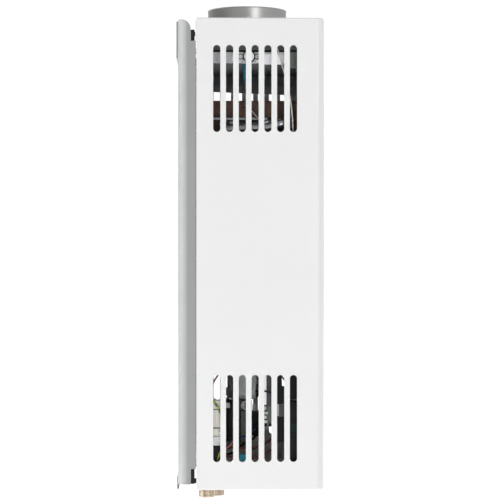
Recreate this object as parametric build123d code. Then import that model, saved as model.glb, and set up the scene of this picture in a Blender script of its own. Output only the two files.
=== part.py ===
from build123d import *
import os
import math

# ---------------------------------------------------------------------------
# Wall-hung tankless gas water heater.
# Units: millimetres.  X = width, Y = depth (front faces -Y, wall plane Y = 0),
# Z = up.  While building, z is counted from the underside of the case and "d"
# is the distance from the wall (Y = -d).  On export everything is lowered by
# PAD_Z so the origin lies on the rear face of the hanging pad.
# ---------------------------------------------------------------------------

# driving dimensions ---------------------------------------------------------
CASE_W = 355.0          # case width
CASE_H = 610.0          # case height
CASE_REAR = 26.3        # wall to rear edge of the cover
CASE_FRONT = 191.5      # wall to front face
SHEET = 1.0             # cover sheet thickness
EDGE_R = 10.0           # vertical front edge radius
TOP_R = 3.5             # top/bottom front edge radius
SIDE_R = 2.0            # top/bottom side edge radius

SLOT_W = 9.3            # vent slot width
SLOT_H = 112.3          # vent slot height
SLOT_PITCH = 16.5
SLOT_N = 7
SLOT_D = 102.2          # slot group centre, from the wall
SLOT_Z_UP = 518.25      # centre of the upper group
SLOT_Z_LO = 92.25       # centre of the lower group

FLUE_D = 94.8           # flue axis from the wall
FLUE_OD = 108.3
FLUE_TOP = 641.5
FLUE_WALL = 1.0

PLATE_T = 1.2           # back plate sheet
PLATE_W = 353.0
PLATE_BACK = 2.5        # rear face of the plate, from the wall
PLATE_FRONT = 25.7      # front edge of the side flanges
PLATE_R = 12.0          # bend radius of the side flanges
PLATE_Z0, PLATE_Z1 = 7.0, 608.0
FLANGE_Z0, FLANGE_Z1 = 27.0, 580.0
FLANGE_END = 19.0       # narrower flange at both ends
PAD_Z = 584.0           # height of the hanging pad's centre line
PAD_X = 150.0

HOT_X, COLD_X, PIPE_D = -120.0, 120.0, 39.5
GAS_X, GAS_D = 0.0, 50.1
HALF_IN_OD = 21.3       # 1/2 in male thread
GAS_OD = 26.7           # 3/4 in male thread

HX_X = 104.0            # half width of the combustion chamber
HX_D0, HX_D1 = 50.0, 160.0
HX_TOP = 508.0
FIN_Z0 = 446.0
CHAMBER_Z0 = 290.0

BUTTON_R = 6.5
BUTTON_TRAVEL = 0.8
ROD_TRAVEL = 5.0

os.makedirs("parts", exist_ok=True)
NODES = {}


def bx(x0, x1, d0, d1, z0, z1):
    """Box between x0..x1, d0..d1 from the wall and z0..z1."""
    return Pos((x0 + x1) / 2, -(d0 + d1) / 2, (z0 + z1) / 2) * Box(x1 - x0, d1 - d0, z1 - z0)


def cz(x, d, z0, z1, r):
    """Vertical cylinder."""
    return Pos(x, -d, (z0 + z1) / 2) * Cylinder(r, z1 - z0)


def cx(x0, x1, d, z, r):
    """Cylinder along X."""
    return Pos((x0 + x1) / 2, -d, z) * Rot(0, 90, 0) * Cylinder(r, x1 - x0)


def cy(x, d0, d1, z, r):
    """Cylinder along the depth."""
    return Pos(x, -(d0 + d1) / 2, z) * Rot(90, 0, 0) * Cylinder(r, d1 - d0)


def fuse(*parts):
    out = parts[0]
    for p in parts[1:]:
        out = out + p
    return out


def cut(a, *tools):
    for t in tools:
        a = a - t
    return a


def fil(part, edges, r):
    """Fillet that falls back to smaller radii."""
    for k in (1.0, 0.7, 0.45):
        try:
            return fillet(edges, r * k)
        except Exception:
            continue
    return part


def v_edges(part):
    return part.edges().filter_by(Axis.Z)


def rbox(x0, x1, d0, d1, z0, z1, r=2.0, axis="z", all_edges=False):
    """Box with rounded edges: those along the axis, or all of them."""
    b = bx(x0, x1, d0, d1, z0, z1)
    if all_edges:
        return fil(b, b.edges(), r)
    ax = {"x": Axis.X, "y": Axis.Y, "z": Axis.Z}[axis]
    return fil(b, b.edges().filter_by(ax), r)


def tube(points, radii, r, name="", inner=0.0):
    """Round tube along straight runs joined by tangent arcs.
    points are (x, d, z); radii one for each inner corner."""
    pts = [Vector(p[0], -p[1], p[2]) for p in points]
    if len(pts) == 2:
        path = Line(pts[0], pts[1])
    else:
        path = FilletPolyline(*pts, radius=radii)
    w = path.wire() if hasattr(path, "wire") else Wire(path.edges())
    start = Plane(origin=pts[0], z_dir=(pts[1] - pts[0]).normalized())
    sec = start * Circle(r)
    if inner:
        sec = sec - start * Circle(inner)
    body = sweep(sec, path=w, transition=Transition.ROUND)
    area = math.pi * (r * r - inner * inner)
    print(f"tube {name}: length {w.length:.1f} mm, radii {radii}, volume ratio {body.volume / (area * w.length):.4f}")
    return body


def auto_radii(points, k=0.45, cap=1e9):
    """As large as the shorter run beside each corner allows."""
    out = []
    for a, b, c in zip(points, points[1:], points[2:]):
        u = Vector(b[0] - a[0], b[1] - a[1], b[2] - a[2])
        v = Vector(c[0] - b[0], c[1] - b[1], c[2] - b[2])
        ang = math.radians(u.get_angle(v))
        out.append(round(min(cap, k * min(u.length, v.length) / math.tan(ang / 2)), 2))
    return out


def add(name, *solids):
    flat = []
    for s in solids:
        if isinstance(s, (list, tuple)):
            flat += list(s)
        else:
            flat.append(s)
    out = []
    for s in flat:
        for so in s.solids():
            out.append(Pos(0, 0, -PAD_Z) * so)
    NODES[name] = out


# === casing ==================================================================
def shell_box(grow):
    """Outer form of the cover; grow = minus the sheet gives the inner form."""
    g = grow
    w = CASE_W / 2 + g
    b = bx(-w, w, CASE_REAR, CASE_FRONT + g, -g, CASE_H + g)
    front_v = [e for e in b.edges().filter_by(Axis.Z) if e.center().Y < -CASE_REAR - 5]
    b = fillet(front_v, EDGE_R + g)
    # remaining edges of the top and bottom faces, without the rear ones
    top = [e for e in b.edges() if e.center().Y < -CASE_REAR - 2
           and (abs(e.center().Z - (CASE_H + g)) < 0.01 or abs(e.center().Z + g) < 0.01)]
    return fillet(top, max(SIDE_R + g, 0.8))


outer = shell_box(0.0)
inner = shell_box(-SHEET)
cover = outer - inner
# rear hem turned inwards along both sides, open at the corners
for sx in (-1, 1):
    x0, x1 = sorted((sx * (CASE_W / 2 - SHEET), sx * (CASE_W / 2 - 9.0)))
    cover = cover + bx(x0, x1, CASE_REAR, CASE_REAR + SHEET, 14, CASE_H - 14)
# vent slots, both sides in one cut
slots = []
for zc in (SLOT_Z_UP, SLOT_Z_LO):
    for i in range(SLOT_N):
        dc = SLOT_D + (i - (SLOT_N - 1) / 2) * SLOT_PITCH
        s = Plane(origin=(-CASE_W, -dc, zc), x_dir=(0, 0, 1), z_dir=(1, 0, 0)) * SlotOverall(SLOT_H, SLOT_W)
        slots.append(extrude(s, amount=2 * CASE_W))
for s in slots:
    cover = cover - s
# flue opening in the top, drain gap and battery hatch in the bottom
cover = cover - cz(0, FLUE_D, CASE_H - 5, CASE_H + 5, FLUE_OD / 2 + 2.0)
PIPE_CUT_X, PIPE_CUT_D = 142.0, 68.0
cover = cover - rbox(-PIPE_CUT_X, PIPE_CUT_X, 10, PIPE_CUT_D, -5, 5, r=8)
HATCH = (-163.0, -89.0, 147.0, 185.0)          # battery hatch x0, x1, d0, d1
cover = cover - rbox(*HATCH, -5, 5, r=4)
for k in range(9):                              # air slots under the burner
    xs = -48 + k * 18
    s = Plane(origin=(xs, -118, -5)) * SlotOverall(52, 6, rotation=90)
    cover = cover - extrude(s, amount=10)
# front: control panel and flame window openings
PANEL = (-78.0, 78.0, 96.0, 146.0)              # x0, x1, z0, z1 of the cut-out
cover = cover - rbox(PANEL[0], PANEL[1], CASE_FRONT - 6, CASE_FRONT + 6, PANEL[2], PANEL[3], r=6, axis="y")
WIN_Z, WIN_W, WIN_H = 300.0, 46.0, 22.0
cover = cover - extrude(Plane(origin=(0, -(CASE_FRONT - 6), WIN_Z), x_dir=(1, 0, 0), z_dir=(0, -1, 0)) * SlotOverall(WIN_W, WIN_H), amount=12)
# screw holes at the rear of the top and bottom panels
SCREW_X, SCREW_D = 156.0, 36.0
for sx in (-1, 1):
    for z in (0, CASE_H):
        cover = cover - cz(sx * SCREW_X, SCREW_D, z - 4, z + 4, 2.2)
add("front_cover", cover)

# back plate: shallow tray with large-radius side flanges ---------------------
def tray_form(half_w, d_back, d_front, r, z0, z1):
    b = bx(-half_w, half_w, d_back, d_front + 30, z0, z1)
    rear_v = [e for e in b.edges().filter_by(Axis.Z) if e.center().Y > -d_back - 1]
    return fillet(rear_v, r)


hw = PLATE_W / 2
tray = tray_form(hw, PLATE_BACK, PLATE_FRONT, PLATE_R, PLATE_Z0, PLATE_Z1)
tray = tray - tray_form(hw - PLATE_T, PLATE_BACK + PLATE_T, PLATE_FRONT, PLATE_R - PLATE_T, PLATE_Z0 - 5, PLATE_Z1 + 5)
tray = tray - bx(-200, 200, PLATE_FRONT, 100, -50, 700)
# narrower flanges at both ends, with a rounded upper front corner
tray = tray - bx(-200, 200, FLANGE_END, 100, FLANGE_Z1, 700)
tray = tray - bx(-200, 200, FLANGE_END, 100, -50, FLANGE_Z0)
corner = bx(-200, 200, FLANGE_END - 13, FLANGE_END + 2, PLATE_Z1 - 13, PLATE_Z1 + 2)
corner = corner - Pos(0, -(FLANGE_END - 13), PLATE_Z1 - 13) * Rot(0, 90, 0) * Cylinder(13, 420)
tray = tray - corner
# hanging pad, pressed out towards the wall
pad_z0, pad_z1 = 560.0, PLATE_Z1
tray = tray - bx(-PAD_X, PAD_X, 0, PLATE_BACK + PLATE_T, pad_z0, pad_z1 + 1)
pad = bx(-PAD_X, PAD_X, 0, PLATE_BACK + PLATE_T, pad_z0, pad_z1)
pad = pad - bx(-PAD_X + PLATE_T, PAD_X - PLATE_T, PLATE_T, 10, pad_z0 + PLATE_T, pad_z1 + 1)
# bottom tab at the wall plane, with a small set-back where it leaves the tray
TAB_X = 117.0
tab = bx(-TAB_X, TAB_X, 0, PLATE_T, -6.5, PLATE_Z0 + PLATE_T)
tab = tab + bx(-TAB_X, TAB_X, 0, PLATE_BACK + PLATE_T, PLATE_Z0, PLATE_Z0 + PLATE_T)
tab = tab + bx(-TAB_X, TAB_X, 0, 2.6, -6.5, -5.3)
back = fuse(tray, pad, tab)
# hanging holes, key holes and bottom slots
HANG_X, HANG_R = 120.0, 3.5
for sx in (-1, 1):
    back = back - cy(sx * HANG_X, -5, 10, PAD_Z, HANG_R)
    back = back - cy(sx * 55, -5, 10, PAD_Z - 4, 6.0)
    back = back - bx(sx * 55 - 3, sx * 55 + 3, -5, 10, PAD_Z - 4, PAD_Z + 8)
    back = back - cy(sx * 55, -5, 10, PAD_Z + 8, 3.0)
TAB_SLOT_X, TAB_SLOT_L, TAB_SLOT_W, TAB_SLOT_Z = 90.0, 14.0, 5.0, 0.6
for sx in (-1, 1):
    s = Plane(origin=(sx * TAB_SLOT_X, 5, TAB_SLOT_Z), x_dir=(1, 0, 0), z_dir=(0, -1, 0)) * SlotOverall(TAB_SLOT_L, TAB_SLOT_W)
    back = back - extrude(s, amount=20)
# stiffening beads pressed into the plate
for zc in (130.0, 400.0):
    for xc in (-120.0, 0.0, 120.0):
        bead = bx(xc - 3, xc + 3, 2.9, 4.6, zc - 70, zc + 70)
        bead = fil(bead, [e for e in bead.edges().filter_by(Axis.Z) if e.center().Y < -4], 1.5)
        back = back + bead
# lugs that take the cover screws, top and bottom
for sx in (-1, 1):
    x0, x1 = sorted((sx * 146.0, sx * 166.0))
    base = PLATE_BACK + PLATE_T - 0.4
    low = bx(x0, x1, base, PLATE_BACK + 2 * PLATE_T, 12.0, 40.0) + bx(x0, x1, base, 29.2, 28.6, 29.8)
    low = low + bx(x0, x1, 28.0, 29.2, 2.0, 29.8) + bx(x0, x1, 28.0, 44.0, 2.0, 3.2)
    low = low - cz(sx * SCREW_X, SCREW_D, -2, 8, 1.75)
    high = bx(x0, x1, base, PLATE_BACK + 2 * PLATE_T, 545.0, 575.0) + bx(x0, x1, base, 29.2, 566.0, 567.2)
    high = high + bx(x0, x1, 28.0, 29.2, 566.0, 608.0) + bx(x0, x1, 28.0, 44.0, 606.8, 608.0)
    high = high - cz(sx * SCREW_X, SCREW_D, 600, 612, 1.75)
    back = back + low + high
# side tabs that guide the cover's rear edge
TABS_Z = ((42.0, 59.0), (566.5, 570.0))
for sx in (-1, 1):
    for z0, z1 in TABS_Z:
        x0, x1 = sorted((sx * hw, sx * (hw - PLATE_T)))
        back = back + bx(x0, x1, PLATE_FRONT - 0.5, CASE_REAR - 0.2, z0, z1)
add("back_plate", back)

# black stand-off blocks between the flange ends and the cover
blocks = []
for sx in (-1, 1):
    x0, x1 = sorted((sx * 166.0, sx * (hw - 0.1)))
    blocks.append(rbox(x0, x1, FLANGE_END + 0.1, 24.0, 580.2, 594.4, r=0.8, axis="y") + bx(x0, x1, 23.0, CASE_REAR - 0.1, 587.0, 591.5))
    blocks.append(rbox(x0, x1, FLANGE_END + 0.1, 24.0, 7.8, 26.8, r=0.8, axis="y") + bx(x0, x1, 23.0, CASE_REAR - 0.1, 8.6, 14.0))
add("standoff_blocks", blocks)

# cover screws: pan head, driven into the lugs
screws = []
for sx in (-1, 1):
    for z_face, s in ((0.0, -1), (CASE_H, 1)):
        z_in = z_face - s * 7.0
        head = cz(sx * SCREW_X, SCREW_D, min(z_face, z_face + s * 2.2), max(z_face, z_face + s * 2.2), 3.9)
        outer_e = [e for e in head.edges() if abs(e.center().Z - (z_face + s * 2.2)) < 0.01]
        head = fil(head, outer_e, 1.2)
        zt = z_face + s * 2.2
        for rot in (0, 90):
            head = head - Pos(sx * SCREW_X, -SCREW_D, zt) * Rot(0, 0, rot + 20) * Box(4.4, 0.9, 2.0)
        screws.append(head + cz(sx * SCREW_X, SCREW_D, min(z_in, z_face), max(z_in, z_face), 1.7))
add("cover_screws", screws)

# === flue way ================================================================
collar = cz(0, FLUE_D, 607.6, FLUE_TOP, FLUE_OD / 2)
collar = fil(collar, [e for e in collar.edges() if abs(e.center().Z - FLUE_TOP) < 0.01], 0.45)
collar = collar + cz(0, FLUE_D, 607.6, 608.9, 64.0)
collar = collar - cz(0, FLUE_D, 590, 650, FLUE_OD / 2 - FLUE_WALL)
NECK_R = FLUE_OD / 2 - FLUE_WALL - 0.1
RIVET_Z = 626.5
rivet_angles = (180.0 + 1.3, 60.0, 300.0)
for a in rivet_angles:
    collar = collar - Pos(0, -FLUE_D, RIVET_Z) * Rot(0, 0, a) * Pos(FLUE_OD / 2, 0, 0) * Rot(0, 90, 0) * Cylinder(1.7, 10)
add("flue_collar", collar)

HOOD = dict(x=162.0, d0=38.0, d1=176.0, z0=552.3, z1=567.0, zt=597.0, t=0.8)


def hood_form(g):
    """Draught hood: skirt, sloping roof and neck; g shrinks it for the inside."""
    h = HOOD
    skirt = bx(-h["x"] + g, h["x"] - g, h["d0"] + g, h["d1"] - g, h["z0"] - (1 if g else 0), h["z1"])
    skirt = fil(skirt, v_edges(skirt), 6 - g)
    yc = -(h["d0"] + h["d1"]) / 2
    lo = Pos(0, yc, h["z1"]) * RectangleRounded(2 * (h["x"] - g), h["d1"] - h["d0"] - 2 * g, 6 - g)
    hi = Pos(0, -FLUE_D, h["zt"] - g) * RectangleRounded(2 * (66 - g), 2 * (56.5 - g), 5 - g)
    roof = loft([lo, hi])
    neck = cz(0, FLUE_D, h["zt"] - 5, 634.0 + (2 if g else 0), NECK_R - g)
    return skirt + roof + neck


hood = hood_form(0.0) - hood_form(HOOD["t"])
for a in rivet_angles:
    hood = hood - Pos(0, -FLUE_D, RIVET_Z) * Rot(0, 0, a) * Pos(NECK_R, 0, 0) * Rot(0, 90, 0) * Cylinder(1.7, 8)
add("draught_hood", hood)

rivets = []
for a in rivet_angles:
    # flush outside so that the flue pipe slides over, domed head inside the neck
    dome = Pos(NECK_R - HOOD["t"] - 0.75, 0, 0) * Rot(0, 90, 0) * Cylinder(3.2, 1.2)
    dome = fil(dome, [e for e in dome.edges() if e.center().X < NECK_R - HOOD["t"] - 1.2], 0.8)
    pin_in, pin_out = NECK_R - HOOD["t"] - 0.6, FLUE_OD / 2 - 0.06
    pin = Pos((pin_in + pin_out) / 2, 0, 0) * Rot(0, 90, 0) * Cylinder(1.6, pin_out - pin_in)
    rivets.append(Pos(0, -FLUE_D, RIVET_Z) * Rot(0, 0, a) * (dome + pin))
add("collar_rivets", rivets)

# hood feet: two hangers from the back plate
hangers = []
for sx in (-1, 1):
    x0, x1 = sorted((sx * 95.0, sx * 125.0))
    hangers.append(bx(x0, x1, 3.75, 5.0, 535.0, 558.0) + bx(x0, x1, 3.75, HOOD["d0"] - 0.05, 551.0, 552.2)
                   + bx(x0, x1, HOOD["d0"] - 1.25, HOOD["d0"] - 0.05, 551.0, 563.0))

# spill thermostat on the skirt, near side ------------------------------------
TH_D, TH_Z = 94.5, 561.0
xs = -HOOD["x"]
br = rbox(xs - 1.0, xs - 0.02, TH_D - 14.5, TH_D + 14.5, TH_Z - 5.0, TH_Z + 5.0, r=3, axis="x")
br = br + bx(xs - 1.0, xs - 0.02, TH_D - 9, TH_D + 9, TH_Z - 9.0, TH_Z + 5.5)
for s in (-1, 1):
    br = br + cx(xs - 2.6, xs - 0.9, TH_D + s * 10.8, TH_Z, 2.7) - cx(xs - 3.2, xs - 1.7, TH_D + s * 10.8, TH_Z, 1.0)
add("thermostat_bracket", br)
disc = cx(xs - 6.2, xs - 1.02, TH_D, TH_Z, 6.9)
disc = fil(disc, [e for e in disc.edges() if abs(e.center().X - (xs - 6.2)) < 0.01], 1.0)
disc = disc + cx(xs - 7.4, xs - 6.0, TH_D, TH_Z, 3.6)
disc = disc + bx(xs - 5.4, xs - 4.6, TH_D - 7.9, TH_D - 3.9, TH_Z - 11.5, TH_Z - 5.0) + bx(xs - 5.4, xs - 4.6, TH_D - 1.9, TH_D + 2.1, TH_Z - 11.5, TH_Z - 5.5)
add("spill_thermostat", disc)

# === heat exchanger ==========================================================
TUBE_D = [64.0, 84.5, 105.0, 125.5, 146.0]      # five water tubes through the fins
TUBE_Z, TUBE_R = 478.0, 7.9
shell = bx(-HX_X, HX_X, HX_D0, HX_D1, CHAMBER_Z0, HX_TOP)
shell = fil(shell, v_edges(shell), 12.0)
shell_in = bx(-HX_X + 0.8, HX_X - 0.8, HX_D0 + 0.8, HX_D1 - 0.8, CHAMBER_Z0 - 5, HX_TOP + 5)
shell = shell - fil(shell_in, v_edges(shell_in), 11.2)
for d in TUBE_D:
    shell = shell - cx(-120, 120, d, TUBE_Z, TUBE_R + 0.1)
shell = shell - rbox(-16, 16, HX_D1 - 5, HX_D1 + 5, WIN_Z - 6, WIN_Z + 6, r=5.5, axis="y")
ELEC_X = (46.0, 64.0)
for x in ELEC_X:
    shell = shell - cy(x, HX_D1 - 5, HX_D1 + 5, 306.0, 4.2)
for zr in (330.0, 384.0, 432.0):                # pressed beads round the chamber
    for sx in (-1, 1):
        x0, x1 = sorted((sx * (HX_X - 0.4), sx * (HX_X + 0.5)))
        shell = shell + rbox(x0, x1, HX_D0 + 12, HX_D1 - 12, zr - 2, zr + 2, r=1.5, axis="x")
add("combustion_chamber", shell)

ends = []
for sx in (-1, 1):
    x0, x1 = sorted((sx * (HX_X + 0.05), sx * (HX_X + 1.25)))
    e = rbox(x0, x1, HX_D0 - 4, HX_D1 + 4, 462.0, HX_TOP, r=3, axis="x")
    x2, x3 = sorted((sx * (HX_X + 0.05), sx * (HX_X + 7.0)))
    e = e + bx(x2, x3, HX_D0 - 2, HX_D1 + 2, HX_TOP - 1.2, HX_TOP)
    for d in TUBE_D:
        e = e - cx(-130, 130, d, TUBE_Z, TUBE_R + 0.1)
    ends.append(e)
add("exchanger_end_plates", ends)

fin = bx(-0.25, 0.25, HX_D0 + 1.4, HX_D1 - 1.4, FIN_Z0 + 6, HX_TOP - 4)
for d in TUBE_D:
    fin = fin - cx(-5, 5, d, TUBE_Z, TUBE_R + 0.08)
for i in range(4):
    dm = (TUBE_D[i] + TUBE_D[i + 1]) / 2
    fin = fin - cx(-5, 5, dm, HX_TOP - 1.0, 7.0) - cx(-5, 5, dm, FIN_Z0 + 4.0, 6.0)
fins = [Pos(-94 + i * 188.0 / 27, 0, 0) * fin for i in range(28)]
add("exchanger_fins", fins)

tubes = []
half = (TUBE_D[1] - TUBE_D[0]) / 2
for i, d in enumerate(TUBE_D):
    tubes.append(cx(-110, 110, d, TUBE_Z, TUBE_R))
bends = []
for i, sx in ((0, -1), (2, -1), (1, 1), (3, 1)):
    dm = TUBE_D[i] + half
    b = Pos(sx * 110, -dm, TUBE_Z) * Torus(half, 7.4)
    keep = bx(*sorted((sx * 110.0, sx * 150.0)), dm - 30, dm + 30, TUBE_Z - 10, TUBE_Z + 10)
    bends.append(b & keep)
for t in bends:
    pass
add("exchanger_tubes", tubes, bends)

# water coil: rises from the water valve, wraps the chamber twice and enters the fins
coil_pts = [(111.6, 75, 98), (111.6, 75, 345), (111.6, 167.6, 345), (-111.6, 167.6, 352), (-111.6, 42.4, 358),
            (111.6, 42.4, 366), (111.6, 167.6, 395), (-111.6, 167.6, 402), (-111.6, 42.4, 410), (111.6, 42.4, 420),
            (134, 52, 446), (134, 64, 478), (110.1, 64, 478)]
coil_r = auto_radii(coil_pts, cap=18)
coil_r[-1] = 12.0
coil_r[-2] = min(coil_r[-2], 14.0)
add("water_coil", tube(coil_pts, coil_r, 7.0, "water_coil"))

# hot pipe: from the last tube, back along the side, down to the hot outlet
hot_pts = [(-110.1, 146, 478), (-137, 146, 478), (-137, 120, 470), (-137, 58, 468), (-128, 39.5, 430), (-120, 39.5, 380), (HOT_X, 39.5, 22)]
hot_r = auto_radii(hot_pts, cap=30)
add("hot_pipe", tube(hot_pts, hot_r, 7.0, "hot_pipe"))

# brackets that carry the chamber on the back plate
brk = []
for sx in (-1, 1):
    for z0 in (298.0, 470.0):
        x0, x1 = sorted((sx * 62.0, sx * 84.0))
        brk.append(bx(x0, x1, 3.75, 4.95, z0, z0 + 34) + bx(x0, x1, 3.75, HX_D0 - 0.03, z0, z0 + 1.2)
                   + bx(x0, x1, HX_D0 - 1.23, HX_D0 - 0.03, z0, z0 + 22))

# === burner ==================================================================
BF = dict(x=103.0, d0=51.0, d1=159.0, z0=228.0, z1=289.9)
INJ_X = [-80 + 20 * i for i in range(9)]
bf_rear = bx(-BF["x"], BF["x"], BF["d0"], BF["d0"] + 0.8, BF["z0"], BF["z1"])
bf_front = bx(-BF["x"], BF["x"], BF["d1"] - 0.8, BF["d1"], BF["z0"], BF["z1"])
for x in INJ_X:
    bf_front = bf_front - cy(x, BF["d1"] - 4, BF["d1"] + 4, 248.0, 6.0)
bf_left = bx(-BF["x"], -BF["x"] + 0.8, BF["d0"] + 0.8, BF["d1"] - 0.8, BF["z0"], BF["z1"]) \
    + bx(-BF["x"] - 6, -BF["x"] + 0.4, 60, 150, 260, 261.2)
bf_right = bx(BF["x"] - 0.8, BF["x"], BF["d0"] + 0.8, BF["d1"] - 0.8, BF["z0"], BF["z1"]) \
    + bx(BF["x"] - 0.4, BF["x"] + 1.2, 60, 150, 260, 261.2)
add("burner_frame", bf_rear, bf_front, bf_left, bf_right)

bars = []
for x in INJ_X:
    b = bx(x - 5.5, x + 5.5, 56, 150, 252, 284)
    b = fil(b, [e for e in b.edges().filter_by(Axis.Y) if e.center().Z > 283], 3.0)
    b = b + bx(x - 3.2, x + 3.2, 62, 150, 240, 252.2)
    b = b + cy(x, 120, 153, 248, 6.0) - cy(x, 122, 160, 248, 4.6)
    for k in range(8):
        b = b - bx(x - 4.0, x + 4.0, 61 + k * 11, 65 + k * 11, 281, 286)
    bars.append(b)
add("burner_bars", bars)

MAN = dict(x=94.0, d0=166.5, d1=181.0, z0=240.0, z1=256.0)
man = rbox(-MAN["x"], MAN["x"], MAN["d0"], MAN["d1"], MAN["z0"], MAN["z1"], r=2.5, axis="x")
for x in INJ_X:
    man = man - cy(x, MAN["d0"] - 2, MAN["d0"] + 6, 248.0, 2.6)
add("gas_manifold", man)

inj = []
for x in INJ_X:
    hexa = extrude(Plane(origin=(x, -(MAN["d0"] - 0.02), 248), x_dir=(1, 0, 0), z_dir=(0, 1, 0)) * RegularPolygon(4.2, 6), amount=4.2)
    n = hexa + cy(x, 157.0, MAN["d0"] - 4.0, 248, 2.8) + cy(x, MAN["d0"] - 0.5, MAN["d0"] + 5.0, 248, 2.55)
    n = n - cy(x, 156, 170, 248, 0.6)
    inj.append(n)
add("burner_injectors", inj)

# electrode plate with spark electrode and flame probe
ep = rbox(36, 74, HX_D1 + 0.05, HX_D1 + 1.25, 297, 316, r=2, axis="y")
for x in ELEC_X:
    ep = ep - cy(x, HX_D1 - 2, HX_D1 + 4, 306.0, 4.0)
add("electrode_plate", ep)
cer, rods = [], []
for x in ELEC_X:
    c = cy(x, 148, 172, 306, 3.4) + cy(x, HX_D1 + 1.3, HX_D1 + 3.5, 306, 5.4)
    c = c - cy(x, 140, 180, 306, 1.05)
    cer.append(c)
    pts = [(x, 176, 306), (x, 132, 306), (x, 118, 292)]
    rods.append(tube(pts, [4.0], 1.0, "electrode"))
add("electrode_ceramics", cer)
add("electrode_rods", rods)

# air trough under the burner: folded galvanised box, open on top
TR = dict(x=98.0, d0=72.0, d1=110.5, z0=110.0)
tr = bx(-TR["x"], TR["x"], TR["d0"], TR["d1"], TR["z0"], 227.9)
tr = fil(tr, [e for e in tr.edges() if e.center().Z < TR["z0"] + 60], 9.0)
tr_in = bx(-TR["x"] + 0.8, TR["x"] - 0.8, TR["d0"] + 0.8, TR["d1"] - 0.8, TR["z0"] + 0.8, 240)
tr = tr - fil(tr_in, [e for e in tr_in.edges() if e.center().Z < TR["z0"] + 60], 8.2)
tr = tr + bx(-101, 101, TR["d0"] - 12, TR["d0"] + 0.3, 226.7, 227.9) + bx(-101, 101, TR["d1"] - 0.3, TR["d1"] + 12, 226.7, 227.9)
add("air_trough", tr)

# === connections at the bottom ===============================================
def hexz(x, d, z0, z1, af):
    return extrude(Plane(origin=(x, -d, z0)) * RegularPolygon(af / math.sqrt(3), 6), amount=z1 - z0)


def chamfer_low(part, z, c):
    return chamfer([e for e in part.edges() if abs(e.center().Z - z) < 0.01], c)


PB_Z0, PB_Z1 = 4.0, 5.2                          # bracket that carries the fittings
PLUG_X, PLUG_D = 120.0, 60.5
pb = rbox(-141, 141, 28, 66, PB_Z0, PB_Z1, r=5)
pb = pb + bx(-141, -120, 3.75, 30, PB_Z0, PB_Z1) + bx(48, 141, 3.75, 30, PB_Z0, PB_Z1)
pb = pb + bx(-141, -120, 3.75, 4.95, PB_Z0, 26) + bx(48, 141, 3.75, 4.95, PB_Z0, 26)
pb = pb - cz(HOT_X, PIPE_D, 0, 10, HALF_IN_OD / 2 + 0.2) - cz(COLD_X, PIPE_D, 0, 10, HALF_IN_OD / 2 + 0.2)
pb = pb - cz(GAS_X, GAS_D, 0, 10, GAS_OD / 2 + 0.2) - cz(PLUG_X, PLUG_D, 0, 10, 6.6)
add("connection_bracket", pb)

HOT_LEN, GAS_LEN = 16.4, 30.5


def fitting(x, d, od, z_low, bore, af, z_top):
    body = chamfer_low(cz(x, d, z_low, PB_Z0, od / 2), z_low, 0.9)
    f = body + cz(x, d, PB_Z0 - 3.0, PB_Z0 - 0.05, od / 2 + 2.6) + cz(x, d, PB_Z0 - 0.5, PB_Z1 + 0.5, od / 2)
    f = f + hexz(x, d, PB_Z1 + 0.05, PB_Z1 + 8.0, af) + cz(x, d, PB_Z1 + 7.5, z_top, od / 2 - 1.0)
    return f - cz(x, d, z_low - 1, z_top + 1, bore)


hot = fitting(HOT_X, PIPE_D, HALF_IN_OD, -HOT_LEN, 7.2, 27.0, 30.0)
add("hot_outlet_fitting", hot)
cold = fitting(COLD_X, PIPE_D, HALF_IN_OD, -HOT_LEN, 7.5, 25.4, 15.0)
add("cold_inlet_fitting", cold)
gas = fitting(GAS_X, GAS_D, GAS_OD, -GAS_LEN, 9.0, 34.0, 40.0)
add("gas_inlet_fitting", gas)
strainer = cz(COLD_X, PIPE_D, -14.0, -2.0, 7.3) - cz(COLD_X, PIPE_D, -12.5, 0, 6.3)
for k in range(4):
    strainer = strainer - cz(COLD_X + 3.4 * math.cos(k * math.pi / 2), PIPE_D + 3.4 * math.sin(k * math.pi / 2), -16, -10, 1.5)
add("inlet_strainer", strainer)

# === water valve (axis along X) ==============================================
WV_D, WV_Z, WV_R = 71.0, 61.0, 34.0
wv = cx(104.0, 131.0, WV_D, WV_Z, WV_R)
wv = fil(wv, [e for e in wv.edges() if abs(e.center().X - 131.0) < 0.01], 6.0)
wv = wv + cz(COLD_X, PIPE_D, 15.05, 58, 13.0) + cz(PLUG_X, PLUG_D, 18.0, 34, 8.5) + cz(111.6, 75, 88, 97.95, 7.5)
wv = wv - cz(COLD_X, PIPE_D, 10, 50, 7.0) - cz(PLUG_X, PLUG_D, 10, 28.5, 5.05)
VS = [(WV_D + 29.5 * math.cos(a), WV_Z + 29.5 * math.sin(a)) for a in [math.radians(30 + 60 * k) for k in range(6)]]
for d, z in VS:
    wv = wv - cx(100, 120, d, z, 1.95)
add("water_valve_body", wv)
dia = cx(103.2, 104.0, WV_D, WV_Z, 33.0)
for d, z in VS:
    dia = dia - cx(100, 120, d, z, 2.1)
add("valve_diaphragm", dia)
wc = cx(96.0, 103.2, WV_D, WV_Z, WV_R) + cx(80.0, 96.5, WV_D, WV_Z, 26.0)
wc = fil(wc, [e for e in wc.edges() if abs(e.center().X - 80.0) < 0.01], 5.0)
wc = wc + cx(74.0, 80.5, WV_D, WV_Z, 6.5)
wc = wc - cx(88.0, 110, WV_D, WV_Z, 21.0)
ROD_R = 2.5
wc = wc - cx(60, 100, WV_D, WV_Z, ROD_R + 0.05)
for d, z in VS:
    wc = wc - cx(90, 120, d, z, 2.1)
add("water_valve_cover", wc)
vsc = []
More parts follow.
